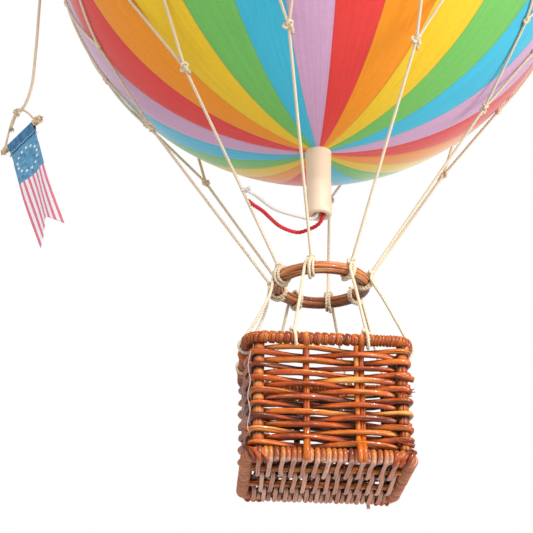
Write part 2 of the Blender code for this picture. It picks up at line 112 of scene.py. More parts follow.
class Tree:
    def __init__(self, nodeTree):
        self.tree = nodeTree

    def add(self, kind, settings=None, values=None):
        node = self.tree.nodes.new(kind)
        for name, value in (settings or {}).items():
            if name == "stops":
                self.setStops(node.color_ramp, value)
            elif name == "steps":
                node.color_ramp.interpolation = "CONSTANT" if value else "LINEAR"
            else:
                setattr(node, name, value)
        for key, value in (values or {}).items():
            self.feed(node.inputs[key], value)
        shown = [socket for socket in node.outputs if socket.enabled]
        return Wire(self, node, shown[0] if shown else None)

    def feed(self, socket, value):
        if isinstance(value, Wire):
            self.tree.links.new(value.socket, socket)
        else:
            socket.default_value = value

    def setStops(self, ramp, stops):
        while len(ramp.elements) > len(stops):
            ramp.elements.remove(ramp.elements[-1])
        while len(ramp.elements) < len(stops):
            ramp.elements.new(1.0)
        for element, (place, colour) in zip(ramp.elements, stops):
            element.position = place
            element.color = (*colour, 1.0)

    def vector(self, operation, a, b):
        return self.add("ShaderNodeVectorMath", {"operation": operation}, {0: a, 1: b})

    def noise(self, place, scale, detail=2.0, roughness=0.5):
        return self.add("ShaderNodeTexNoise", {}, {
            "Vector": place, "Scale": scale, "Detail": detail, "Roughness": roughness})

    def join(self, x, y, z=0.0):
        return self.add("ShaderNodeCombineXYZ", {}, {"X": x, "Y": y, "Z": z})


class Paint(Tree):                           # a material: constants go on the shader's own sockets
    def __init__(self, name, **constants):
        self.material = bpy.data.materials.new(name)
        self.material.use_nodes = True
        super().__init__(self.material.node_tree)
        self.shader = self.tree.nodes["Principled BSDF"]
        for label, value in constants.items():
            socket = label.replace("_", " ").title().replace("Ior", "IOR")
            self.shader.inputs[socket].default_value = value
        self.place = self.add("ShaderNodeTexCoord")["Object"]

    def set(self, label, value):
        self.feed(self.shader.inputs[label], value)

    def bump(self, height, distance, strength=1.0):
        self.set("Normal", self.add("ShaderNodeBump", {}, {
            "Height": height, "Distance": distance, "Strength": strength}))

    def mix(self, part, first, second, blend="MIX"):
        return self.add("ShaderNodeMix", {"data_type": "RGBA", "blend_type": blend}, {
            0: part, 6: asColour(first), 7: asColour(second)})

    def ramp(self, part, stops, steps=False):
        return self.add("ShaderNodeValToRGB", {"stops": stops, "steps": steps}, {0: part})

    def attribute(self, name):
        return self.add("ShaderNodeAttribute", {"attribute_name": name})["Fac"]

    def innerShade(self):                     # painted shade: 0 outside the basket's walls, 1 well inside them
        axes = self.add("ShaderNodeSeparateXYZ", {}, {0: self.place})
        x, y, z = axes["X"], axes["Y"], axes["Z"]
        turn = math.radians(basket["turn"])
        out = x.maths("MAXIMUM", (x * math.cos(turn) + y * math.sin(turn)).size() - basket["wallX"],
                      (y * math.cos(turn) - x * math.sin(turn)).size() - basket["wallY"])
        level = (z < basket["rimZ"]) * (z > basket["footZ"] + 0.0012)
        return ((0.0013 - out) * 240.0).limit() * level

    def uv(self):
        return self.add("ShaderNodeSeparateXYZ", {}, {
            0: self.add("ShaderNodeUVMap", {"uv_map": "UVMap"})})


class Grower(Tree):                          # a Geometry Nodes tree with named inputs
    def __init__(self, name, inputs):
        self.group = bpy.data.node_groups.new(name, "GeometryNodeTree")
        super().__init__(self.group)
        self.keys = {}
        self.group.interface.new_socket("Geometry", in_out="INPUT", socket_type="NodeSocketGeometry")
        for label, kind in inputs.items():
            made = self.group.interface.new_socket(label, in_out="INPUT",
                                                   socket_type="NodeSocket" + kind)
            self.keys[label] = made.identifier
        self.group.interface.new_socket("Geometry", in_out="OUTPUT", socket_type="NodeSocketGeometry")
        self.source = self.add("NodeGroupInput")

    def store(self, geometry, name, value, domain="POINT", kind="FLOAT"):
        return self.add("GeometryNodeStoreNamedAttribute", {"data_type": kind, "domain": domain}, {
            "Geometry": geometry, "Name": name, "Value": value})

    def capture(self, geometry, value, domain="POINT"):
        node = self.tree.nodes.new("GeometryNodeCaptureAttribute")
        node.domain = domain
        node.capture_items.new("FLOAT", "Value")
        self.feed(node.inputs[0], geometry)
        self.feed(node.inputs[1], value)
        return Wire(self, node, node.outputs[0]), Wire(self, node, node.outputs[1])

    def read(self, name):
        return self.add("GeometryNodeInputNamedAttribute", {"data_type": "FLOAT"}, {"Name": name})

    def random(self, low, high, seed):
        return self.add("FunctionNodeRandomValue", {"data_type": "FLOAT"}, {2: low, 3: high, 8: seed})

    def finish(self, geometry):
        solid = self.add("GeometryNodeRealizeInstances", {}, {0: geometry})
        facing = self.add("ShaderNodeSeparateXYZ", {}, {0: self.add("GeometryNodeInputNormal")})
        solid = self.store(solid, "lift", facing["Z"])           # how far the surface looks up, for painted shade and highlights
        smooth = self.add("GeometryNodeSetShadeSmooth", {}, {0: solid})
        painted = self.add("GeometryNodeSetMaterial", {}, {
            0: smooth, "Material": self.source["Material"]})
        self.add("NodeGroupOutput", {}, {0: painted})


def asColour(value):
    return value if isinstance(value, Wire) else (*value, 1.0)


def screen(red, green, blue):                # a colour as read off a screen, 0 to 255
    return tuple(((part / 255 + 0.055) / 1.055) ** 2.4 if part > 10 else part / 3294
                 for part in (red, green, blue))


def keep(name, mesh):
    piece = bpy.data.objects.new(name, mesh)
    bpy.context.scene.collection.objects.link(piece)
    return piece


def grow(name, mesh, tree, **inputs):        # runs a tree on a mesh and keeps the plain result
    piece = keep(name, mesh)
    modifier = piece.modifiers.new("Grow", "NODES")
    modifier.node_group = tree.group
    for label, value in inputs.items():
        modifier[tree.keys[label[0].upper() + label[1:]]] = value
    bpy.context.view_layer.update()
    graph = bpy.context.evaluated_depsgraph_get()
    made = bpy.data.meshes.new_from_object(piece.evaluated_get(graph), depsgraph=graph)
    piece.modifiers.clear()
    piece.data = made
    made.name = name
    return piece


def dress(piece, body, slot, *replaced):
    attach(piece, body)
    if replaced:
        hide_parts(*replaced)
    return piece


# Points and paths

def around(angle, radius, height):           # a point at an angle round the balloon
    turn = math.radians(angle)
    return Vector((radius * math.cos(turn), -radius * math.sin(turn), height))


def smoothPath(points, spacing, closed=False):
    if closed:
        ends = [points[-1]] + list(points) + [points[0], points[1]]
    else:
        ends = [2 * points[0] - points[1]] + list(points) + [2 * points[-1] - points[-2]]
    fine = []
    for a, b, c, d in zip(ends, ends[1:], ends[2:], ends[3:]):
        steps = max(1, round((c - b).length / spacing))
        for step in range(steps):
            t = step / steps
            fine.append(0.5 * (2 * b + (c - a) * t + (2 * a - 5 * b + 4 * c - d) * t * t
                               + (3 * b - a - 3 * c + d) * t ** 3))
    if not closed:
        fine.append(points[-1].copy())
    return fine


def pathLength(points):
    return sum((b - a).length for a, b in zip(points, points[1:]))


def turned(points, degrees):                 # points turned about the balloon's axis
    spin = Matrix.Rotation(math.radians(degrees), 3, "Z")
    return [spin @ point for point in points]


def circle(middle, first, second, radius, count):        # from the first direction towards the second
    turns = [2 * math.pi * step / count for step in range(count)]
    return [middle + (first * math.cos(turn) + second * math.sin(turn)) * radius for turn in turns]


class Strand:                                # a path with a radius, a shade, 0 to 1, and painted shadow
    def __init__(self, points, radius, shade=0.5, closed=False, dim=None):
        self.points = points
        self.dim = dim or [0.0] * len(points)
        self.radius = radius if isinstance(radius, list) else [radius] * len(points)
        self.shade = shade
        self.closed = closed


def strandMesh(name, strands):
    verts, edges, thick, shade, dim = [], [], [], [], []
    for strand in strands:
        first = len(verts)
        verts += strand.points
        thick += strand.radius
        shade += [strand.shade] * len(strand.points)
        dim += strand.dim
        edges += [(i, i + 1) for i in range(first, len(verts) - 1)]
        if strand.closed:
            edges.append((len(verts) - 1, first))
    mesh = bpy.data.meshes.new(name)
    mesh.from_pydata(verts, edges, [])
    for label, values in (("thick", thick), ("shade", shade), ("dim", dim)):
        mesh.attributes.new(label, "FLOAT", "POINT").data.foreach_set("value", values)
    return mesh


def makeStrandTree():                        # sweeps a lobed section along every path
    tree = Grower("strands", {"Material": "Material", "Spacing": "Float", "Sides": "Int",
                              "Lobes": "Int", "Depth": "Float", "Twist": "Float",
                              "Flatten": "Float", "Uneven": "Float", "Seed": "Float"})
    source = tree.source
    curve = tree.add("GeometryNodeMeshToCurve", {}, {0: source["Geometry"]})
    curve = tree.add("GeometryNodeResampleCurve", {"mode": "LENGTH"}, {
        "Curve": curve, "Length": source["Spacing"]})
    run = tree.add("GeometryNodeSplineParameter")["Length"]
    curve, along = tree.capture(curve, run)
    shade = tree.read("shade")
    lumps = tree.noise(tree.join(along * 220.0, shade * 57.0, source["Seed"]), 1.0)
    radius = tree.read("thick") * (1.0 + (lumps - 0.5) * source["Uneven"] * 2.0)
    curve = tree.add("GeometryNodeSetCurveTilt", {}, {
        "Curve": curve, "Tilt": along * source["Twist"] + shade * 40.0})
    hoop = tree.add("GeometryNodeCurvePrimitiveCircle", {}, {
        "Resolution": source["Sides"], "Radius": 1.0})["Curve"]
    factor = tree.add("GeometryNodeSplineParameter")["Factor"]
    hoop, side = tree.capture(hoop, factor)
    bulge = 1.0 + (side * source["Lobes"] * (2 * math.pi) + math.pi / 2).wave() * source["Depth"]
    shape = tree.join(bulge, bulge * (1.0 - source["Flatten"]), 1.0)
    place = tree.add("GeometryNodeInputPosition")
    section = tree.add("GeometryNodeSetPosition", {}, {
        0: hoop, "Position": tree.vector("MULTIPLY", place, shape)})
    body = tree.add("GeometryNodeCurveToMesh", {}, {
        "Curve": curve, "Profile Curve": section, "Scale": radius, "Fill Caps": True})
    middle = tree.add("GeometryNodeFieldOnDomain", {"data_type": "FLOAT", "domain": "FACE"}, {0: side})
    unrolled = side + ((middle - side) > 0.25)           # the last strip goes on to 1, not back to 0
    body = tree.store(body, "UVMap", tree.join(along, unrolled), "CORNER", "FLOAT2")
    tree.finish(body)
    return tree


strandTree = makeStrandTree()


def sweep(name, strands, material, spacing, sides=8, lobes=3, depth=0.0, twist=0.0, flatten=0.0,
          uneven=0.0, seed=0.0):
    return grow(name, strandMesh(name, strands), strandTree, material=material, spacing=spacing,
                sides=sides, lobes=lobes, depth=depth, twist=twist, flatten=flatten,
                uneven=uneven, seed=seed)


# Camera, as the photograph was taken: it looks up from the floor

view = {
    "place": (0.0, -0.672, -0.71873),
    "yaw": -2.5222,                          # degrees, to the left
    "pitch": 24.8707,
    "roll": 0.1315,
    "lens": 90.65,
    "sensor": 36.0,
}


def makeCamera():
    yaw, pitch, roll = (math.radians(view[key]) for key in ("yaw", "pitch", "roll"))
    ahead = Vector((math.sin(yaw) * math.cos(pitch), math.cos(yaw) * math.cos(pitch),
                    math.sin(pitch)))
    right = Vector((math.cos(yaw), -math.sin(yaw), 0))
    up = right.cross(ahead)
    rolledRight = math.cos(roll) * right + math.sin(roll) * up
    rolledUp = math.cos(roll) * up - math.sin(roll) * right
    data = bpy.data.cameras.new("camera")
    data.lens = view["lens"]
    data.sensor_width = view["sensor"]
    data.clip_start = 0.01
    camera = keep("camera", data)
    pose = Matrix((rolledRight, rolledUp, -ahead)).transposed().to_4x4()
    pose.translation = Vector(view["place"])
    camera.matrix_world = pose
    bpy.context.scene.camera = camera


makeCamera()


# Finishes

def makeStringPaint(name, run):              # run: how fast the ply turns where the mesh isn't twisted
    paint = Paint(name, roughness=0.85, sheen_weight=0.25, sheen_roughness=0.6)
    uv = paint.uv()
    ply = (uv["X"] * run + uv["Y"] * (6 * math.pi) + math.pi / 2).wave()
    fibre = paint.noise(paint.vector("MULTIPLY", paint.place, (1.0, 1.0, 0.6)), 1900.0, 3.0)
    stain = paint.noise(paint.place, 60.0, 2.0)
    shade = paint.attribute("shade")
    base = paint.mix(shade, screen(250, 236, 212), screen(240, 212, 168))
    # painted shade in the grooves between the plies
    grooveShade = paint.mix((0.5 - ply * 0.5).power(1.5) * 0.20, base, screen(184, 142, 96))
    dusty = paint.mix(stain["Fac"] * 0.35, grooveShade, screen(200, 166, 124))
    speck = paint.mix(((fibre - 0.5) * 3.0).size() * 0.22, dusty, screen(244, 232, 212))
    paint.set("Base Color", speck)
    paint.bump(ply * 0.8 + fibre * 0.8, 0.00025, 0.8)
    return paint.material


def makeTwistPaint(name, light, dark, pitch):
    paint = Paint(name, roughness=0.75, sheen_weight=0.3, sheen_roughness=0.5)
    uv = paint.uv()
    ply = (uv["X"] * pitch + uv["Y"] * (2 * math.pi)).wave()
    fibre = paint.noise(paint.place, 2400.0, 3.0)
    base = paint.mix(fibre, screen(*dark), screen(*light))
    # painted shade in the grooves between the plies
    paint.set("Base Color", paint.mix((0.5 - ply * 0.5) * 0.25, base, screen(*dark)))
    paint.bump(fibre + ply * 0.4, 0.0002, 0.6)
    return paint.material


stringPaint = makeStringPaint("string", 0.0)
netPaint = makeStringPaint("string_net", 4600.0)
redPaint = makeTwistPaint("cord_red", (240, 18, 42), (186, 4, 24), 3000.0)
threadPaint = makeTwistPaint("thread", (206, 188, 184), (150, 128, 124), 3000.0)
whitePaint = makeTwistPaint("cord_white", (242, 238, 232), (188, 178, 168), 3400.0)


# The ball's place, which the others count from

ball = {"radius": 0.160, "z": -0.1758}       # its centre is under the hang point
centre = Vector((0, 0, ball["z"]))
xWay, yWay, zWay = Vector((1, 0, 0)), Vector((0, 1, 0)), Vector((0, 0, 1))


def underBall(points):                       # points whose heights count from the ball's centre
    return [Vector((x, y, ball["z"] + z)) for x, y, z in points]


# Two short cords out of the neck tube

redCord = {
    "radius": 0.00105,
    "length": 0.067,
    "route": (
        (0.0018, 0.0009, -0.1960), (0.0018, 0.0010, -0.1985), (0.0015, 0.0014, -0.2008),
        (0.0005, 0.0024, -0.2030), (-0.0018, 0.0042, -0.2044), (-0.0048, 0.0062, -0.2050),
        (-0.0083, 0.0084, -0.2054), (-0.0118, 0.0098, -0.2056), (-0.0150, 0.0088, -0.2056),
        (-0.0185, 0.0065, -0.2054), (-0.0217, 0.0035, -0.2051), (-0.0242, -0.0002, -0.2049),
        (-0.0264, -0.0045, -0.2046), (-0.0287, -0.0092, -0.2043), (-0.0309, -0.0135, -0.2039),
        (-0.0335, -0.0172, -0.2036), (-0.0362, -0.0208, -0.2033), (-0.0384, -0.0246, -0.2030)),
}
whiteCord = {
    "radius": 0.0009,
    "length": 0.062,
    "route": (
        (-0.0009, -0.0009, -0.1960), (-0.0010, -0.0009, -0.1985), (-0.0016, -0.0010, -0.2006),
        (-0.0030, -0.0013, -0.2022), (-0.0052, -0.0021, -0.2031), (-0.0080, -0.0042, -0.2036),
        (-0.0113, -0.0068, -0.2038), (-0.0155, -0.0096, -0.2040), (-0.0197, -0.0127, -0.2041),
        (-0.0232, -0.0160, -0.2043), (-0.0262, -0.0200, -0.2045), (-0.0288, -0.0248, -0.2047),
        (-0.0311, -0.0296, -0.2049), (-0.0334, -0.0343, -0.2051), (-0.0358, -0.0384, -0.2053),
        (-0.0381, -0.0413, -0.2055)),
}


def tuft(point, ahead, length, radius, count, seed, shade=0.5):      # a frayed end: hairs that spread
    draw = random.Random(seed)
    hairs = []
    for _ in range(count):
        spread = Vector((draw.uniform(-1, 1), draw.uniform(-1, 1), draw.uniform(-1, 1)))
        way = (ahead + spread * 0.45).normalized()
        start = point - ahead * length * 0.3 + spread * radius * 0.6
        reach = length * draw.uniform(0.55, 1.0)
        bend = Vector((draw.uniform(-1, 1), draw.uniform(-1, 1), draw.uniform(-1, 0.4))) * 0.3
        points = [start + way * reach * t + bend * reach * t * t for t in (0, 0.35, 0.7, 1.0)]
        hairs.append(Strand(points, [radius * 0.14, radius * 0.13, radius * 0.10, radius * 0.04],
                            shade))
    return hairs


def endWay(points):                          # the way a path ends
    return (points[-1] - points[-4]).normalized()


def makeNeckCord(name, cord, paint, twist):
    points = smoothPath(underBall(cord["route"]), 0.0005)
    piece = sweep(name, [Strand(points, cord["radius"])], paint, 0.00028, sides=12, lobes=3,
                  depth=0.16, twist=twist)
    return piece, points


redPiece, redPoints = makeNeckCord("neckCordRed", redCord, redPaint, 1000.0)
whitePiece, whitePoints = makeNeckCord("neckCordWhite", whiteCord, whitePaint, -1300.0)
dress(redPiece, "balloon", "cord_red", "neck_cord_red")
dress(whitePiece, "balloon", "cord_white", "neck_cord_white")
whiteHairs = tuft(whitePoints[-1], endWay(whitePoints), 0.0044, 0.0020, 24, 3)
whiteTuft = sweep("neckCordTuft", whiteHairs, whitePaint, 0.0008, sides=5)
dress(whiteTuft, "balloon", "cord_white")
redHairs = tuft(redPoints[-1], endWay(redPoints), 0.0016, 0.0010, 40, 5)
redTuft = sweep("neckCordRedEnd", redHairs, redPaint, 0.0008, sides=4)
dress(redTuft, "balloon", "cord_red")
print("neck cords", round(pathLength(redPoints), 4), round(pathLength(whitePoints), 4))


# Pennants: a string from the net, a bridle, a stick and a swallow-tailed flag

pennant = {
    "string": 0.00085,
    "bridle": 0.0006,
    "length": 0.1485,
    "route": (
        (-0.1621, -0.0295, 0.0010), (-0.1621, -0.0295, -0.0200), (-0.1620, -0.0297, -0.0400),
        (-0.1617, -0.0300, -0.0620), (-0.1614, -0.0305, -0.0800), (-0.1611, -0.0309, -0.0960),
        (-0.1611, -0.0309, -0.1090), (-0.1612, -0.0308, -0.1195), (-0.1617, -0.0302, -0.1280),
        (-0.1630, -0.0289, -0.1335), (-0.1648, -0.0268, -0.1375), (-0.1672, -0.0242, -0.1402),
        (-0.1698, -0.0216, -0.1413)),
    "peak": (-0.1720, -0.0195, -0.1412),
    "knots": (0.0012, 0.0017),               # the bridle's knots at the stick's two ends
    "peakKnot": 0.0018,                      # and the one where the string meets the bridle
    "turn": -35.6,                           # which way the flag's width points, seen from above
    "tilt": 22.4,                            # how far its stick slopes
    "top": (-0.1659, -0.02095, -0.1621),
    "stick": (0.0010, 0.0288),
    "flag": (0.021, 0.0735),
    "notch": 0.0157,
    "sleeve": 0.0083,                        # from the seam up to the stick's far side, in its middle
    "thickness": 0.0004,
    "mesh": (26, 110),                       # faces across and down the flag
    "print": {                               # in mm, counted from the seam's middle
        "width": 21.0, "stripes": 13, "field": 25.0,
        "stars": 13, "ringAt": 12.0, "ring": 7.9, "tip": 1.2, "dent": 0.56,
        "thread": 0.42,
    },
    # the bridle in mm from the stick's middle: along it, down the flag, and out from the cloth
    "legs": ((-13.0, 0.9, -0.9), (-13.2, -1.2, -0.4), (-10.3, -5.1, -0.6), (-5.3, -10.3, -1.4),
             (-1.2, -13.8, -1.9), (2.1, -15.4, -2.3), (1.9, -17.2, -2.9), (3.8, -17.2, -2.4),
             (5.5, -15.5, -2.0), (7.8, -12.6, -1.8), (9.8, -9.0, -1.4), (11.6, -3.6, -0.6),
             (13.0, -1.0, -0.4), (13.2, 0.9, -0.9)),
    "tail": ((1.9, -16.4, -1.2), (-0.6, -15.0, -0.8), (-3.0, -13.0, -0.6), (-4.6, -10.8, -0.8),
             (-4.9, -8.9, -0.8)),
}


def flagAxes():
    turn, tilt = math.radians(pennant["turn"]), math.radians(pennant["tilt"])
    level = Vector((math.cos(turn), math.sin(turn), 0))
    along = level * math.cos(tilt) + zWay * math.sin(tilt)
    down = level * math.sin(tilt) - zWay * math.cos(tilt)
    return along, down, along.cross(down)


def makeFlagPaint():
    paint = Paint("flag_cloth", roughness=0.8, sheen_weight=0.2, sheen_roughness=0.5)
    uv = paint.uv()                          # X across and Y down the flag, in millimetres
    across, downward = uv["X"], uv["Y"]
    mark = pennant["print"]
    thread = ((across * (2 * math.pi / mark["thread"])).wave()
              * (downward * (2 * math.pi / mark["thread"])).wave())
    worn = paint.noise(paint.place, 420.0, 4.0, 0.65)
    blue = paint.mix(((worn - 0.32) * 2.4).limit(), screen(44, 118, 164), screen(112, 178, 208))
    stripes = across * (mark["stripes"] / mark["width"]) + mark["stripes"] / 2
    stripe = (stripes + (worn - 0.5) * 0.2).wrap(0.0, 2.0) < 0.92
    soft = paint.mix(worn * 0.5, screen(218, 96, 112), screen(240, 166, 176))
    white = paint.mix(worn * 0.5, screen(246, 240, 248), screen(224, 214, 234))
    striped = paint.mix(stripe, white, soft)
    field = paint.mix(downward > mark["field"], blue, striped)
    # small stars in a ring: each point is turned to its nearest star, then folded to one arm of it
    x = across
    y = downward - mark["ringAt"]
    spacing = 2 * math.pi / mark["stars"]
    places = x.maths("ARCTAN2", y, x) / spacing
    turn = places.maths("ROUND", places) * spacing
    outward = x * turn.cosine() + y * turn.wave() - mark["ring"]
    sideways = y * turn.cosine() - x * turn.wave()
    reach = (outward * outward + sideways * sideways).power(0.5)
    arm = math.pi / 5
    fold = outward.maths("ARCTAN2", sideways, outward).wrap(-arm, arm).size()
    dentX, dentY = mark["dent"] * math.cos(arm), mark["dent"] * math.sin(arm)
    edge = reach * fold.cosine() * dentY + reach * fold.wave() * (mark["tip"] - dentX)
    star = edge < mark["tip"] * dentY
    ringed = paint.mix(star, field, screen(238, 242, 250))
    hem = downward < 0.0
    dark = paint.mix(((worn - 0.34) * 2.4).limit(), screen(24, 84, 128), screen(70, 140, 182))
    hemmed = paint.mix(hem, ringed, dark)
    seamed = paint.mix(1.0 - ((downward - 0.1).size() * 2.2).limit(), hemmed, screen(20, 62, 100))
    stitch = ((downward + 1.2).size() < 0.22) * ((across * (1 / 1.5)).wrap(0.0, 1.0) < 0.55)
    paint.set("Base Color", paint.mix(stitch * 0.8, seamed, screen(206, 226, 238)))
    paint.bump(thread * 0.5 + worn, 0.00012, 0.6)
    return paint.material


def makeStickPaint():
    paint = Paint("stick_wood", roughness=0.6)
    uv = paint.uv()
    grain = paint.noise(paint.join(uv["X"] * 60.0, uv["Y"] * 14.0), 1.0, 4.0)
    paint.set("Base Color", paint.mix(grain, screen(150, 104, 62), screen(206, 164, 112)))
    paint.bump(grain, 0.0001, 0.6)
    return paint.material


flagPaint = makeFlagPaint()
stickPaint = makeStickPaint()


def makeFlagMesh():                          # the cloth goes round the stick as a sleeve, then hangs
    along, down, face = flagAxes()
    top = underBall([pennant["top"]])[0]
    width, length = pennant["flag"]
    radius = pennant["stick"][0] + 0.0004
    axis = pennant["sleeve"] - radius            # from the seam up to the stick's middle
    over = math.pi * radius                      # and once over the stick
    columns, rows = pennant["mesh"]
    work = bmesh.new()
    uvLayer = work.loops.layers.uv.new("UVMap")
    grid = []
    for row in range(rows + 1):
        line = []
        for column in range(columns + 1):
            s = column / columns - 0.5
            skew = 1.0 + 0.30 * s                # the seam isn't quite level with the stick
            tall = axis * skew
            bottom = length - pennant["notch"] * (1 - abs(s) * 2) - 0.0030 * max(0.0, s) * 2
            run = row / rows * (2 * tall + over + bottom)
            if run < tall:                       # up the back from the seam
                height, depth = -run, -radius * min(1.0, run / (tall * 0.75)) ** 0.8
                cloth = -run
            elif run < tall + over:              # over the stick
                turn = (run - tall) / radius
                height, depth = -tall - radius * math.sin(turn), -radius * math.cos(turn)
                cloth = -tall - radius * math.sin(turn)
            elif run < 2 * tall + over:          # down the front to the seam
                left = 2 * tall + over - run
                height, depth = -left, radius * min(1.0, left / (tall * 0.75)) ** 0.8
                cloth = -left
            else:
                height = cloth = run - 2 * tall - over
                depth = 0.0
            drop = max(0.0, height) / length
            lift = height * axis / tall if height < 0 else height     # the stick stays straight
            wave = 0.0010 * math.sin(s * 7 + drop * 4.0) * min(1.0, drop * 2)
            if drop < 0.1:
                wave -= 0.0006 * s
            curl = 0.0012 * max(0.0, s + 0.15) ** 2 * 4 * max(0.0, drop - 0.50) ** 1.3
            ripple = 0.00022 * math.sin(s * 19 + 1.0) * max(0.0, 1 - abs(height) * 320)
            slide = 0.0016 * drop * drop
            point = (top + along * (s * width * (1.0 - 0.09 * drop) + slide) + down * lift
                     + face * (depth + wave + curl + ripple))
            line.append((work.verts.new(point), (s * pennant["print"]["width"], cloth * 1000)))
        grid.append(line)
    for first, second in zip(grid, grid[1:]):
        for a, b, c, d in zip(first, first[1:], second[1:], second):
            corner = work.faces.new((a[0], b[0], c[0], d[0]))
            for loop, (_, uv) in zip(corner.loops, (a, b, c, d)):
                loop[uvLayer].uv = uv
    mesh = bpy.data.meshes.new("flag")
    work.normal_update()
    work.to_mesh(mesh)
    work.free()
    mesh.materials.append(flagPaint)
    mesh.shade_smooth()
    return mesh


def knotPath(place, along, across, size, steps=28, rise=1.3):        # an overhand knot drawn tight
    out = along.cross(across)
    points = []
    for step in range(steps):
        t = 2 * math.pi * step / steps
        x = math.sin(t) + 2 * math.sin(2 * t)
        y = math.cos(t) - 2 * math.cos(2 * t)
        z = -math.sin(3 * t)
        points.append(place + (along * x + across * y + out * z * rise) * size / 3)
    return points


def makePennant(side, degrees):
    body = "pennant_" + side
    route = turned(underBall(pennant["route"]), degrees)
    points = smoothPath(route, 0.001)
    cord = sweep("pennantCord_" + side, [Strand(points, pennant["string"])], stringPaint,
                 0.0005, sides=6, depth=0.15, twist=1400.0)
    dress(cord, body, "string", "pennant_cord_" + side)
    along, down, face = turned(flagAxes(), degrees)
    top = turned(underBall([pennant["top"]]), degrees)[0]
    peak = turned(underBall([pennant["peak"]]), degrees)[0]
    radius, length = pennant["stick"]
    middle = top - down * (pennant["sleeve"] - radius - pennant["thickness"])
    ends = [middle + along * length * part for part in (-0.5, 0.5)]
    stick = sweep("pennantStick_" + side, [Strand([ends[0], middle, ends[1]], radius)], stickPaint,
                  0.001, sides=10, uneven=0.08)
    dress(stick, body, "stick_wood", "pennant_stick_" + side)
    thin = pennant["bridle"]

    def cloth(places):
        return smoothPath([middle + (along * a + down * b + face * c) * 0.001 for a, b, c in places],
                          0.0006)

    legs, tail = cloth(pennant["legs"]), cloth(pennant["tail"])
    strands = [Strand(legs, thin, 0.7), Strand(tail, pennant["string"], 0.6)]
    for end, way, size in zip(ends, (-1, 1), pennant["knots"]):
        for loop in range(3):                # turns of the bridle round the stick's end
            spot = end - along * way * (0.0010 + loop * thin * 1.9)
            strands.append(Strand(circle(spot, down, face, radius + thin * 0.9, 12), thin, 0.8, True))
        outer = knotPath(end + along * way * 0.0006, down, face, size * 1.25)
        inner = knotPath(end + along * way * 0.0002, face, along, size)
        strands += [Strand(outer, thin * 1.15, 0.9, True), Strand(inner, thin, 0.8, True)]
        ahead = (along * way + down * 0.3).normalized()
        strands += tuft(end + along * way * 0.0016, ahead, size * 1.5, 0.0012, 24, 3 + way, 0.8)
    strands.append(Strand(knotPath(peak, down, face, pennant["peakKnot"]), thin, 0.6, True))
    strands += tuft(tail[-1], endWay(tail), 0.0026, 0.0012, 34, 7, 0.4)
    for spot, way in ((-0.5, -1), (0.5, 1)):             # threads that come out of the seam's ends
        ahead = (along * way + down * 0.2).normalized()
        strands += tuft(top + along * pennant["flag"][0] * spot, ahead, 0.0022, 0.0008, 12, 11 + way)
    bridle = sweep("pennantBridle_" + side, strands, stringPaint, 0.0005, sides=6, depth=0.15,
                   twist=1800.0)
    dress(bridle, body, "string", "pennant_bridle_" + side)
    mesh = makeFlagMesh()
    mesh.transform(Matrix.Rotation(math.radians(degrees), 4, "Z"))
    flag = keep("pennantFlag_" + side, mesh)
    thick = flag.modifiers.new("Thickness", "SOLIDIFY")
    thick.thickness = pennant["thickness"]
    thick.offset = 0.0
    dress(flag, body, "flag_cloth", "pennant_flag_" + side)
    width, drop = pennant["flag"]            # the sleeve's cloth goes up, over the stick and down again
    roll = radius + pennant["thickness"]
    cut = drop + 2 * (pennant["sleeve"] - roll) + math.pi * roll
    width * (cut - pennant["notch"] / 2)
    print("pennant", side, round(pathLength(points), 4))


for side, degrees in (("left", 0.0), ("right", 180.0)):
    makePennant(side, degrees)
print("pennants done")


# Ball: a smooth cloth skin of 24 gores in six colours

skin = {
    "gore": 15.0,                            # degrees; the six colours come round four times
    "segments": 192,                         # eight to a gore
    "rings": 96,
    "turn": 5.84,                            # the violet and red gores meet this far right of the front
    "seam": 0.00010,                         # how far the seams draw in
    "buckle": 0.00035,
}
rainbow = (                                  # going right from the violet and red seam
    screen(226, 58, 54),
    screen(242, 146, 16),
    screen(238, 196, 32),
    screen(112, 188, 90),
    screen(58, 185, 216),
    screen(208, 162, 197),
)


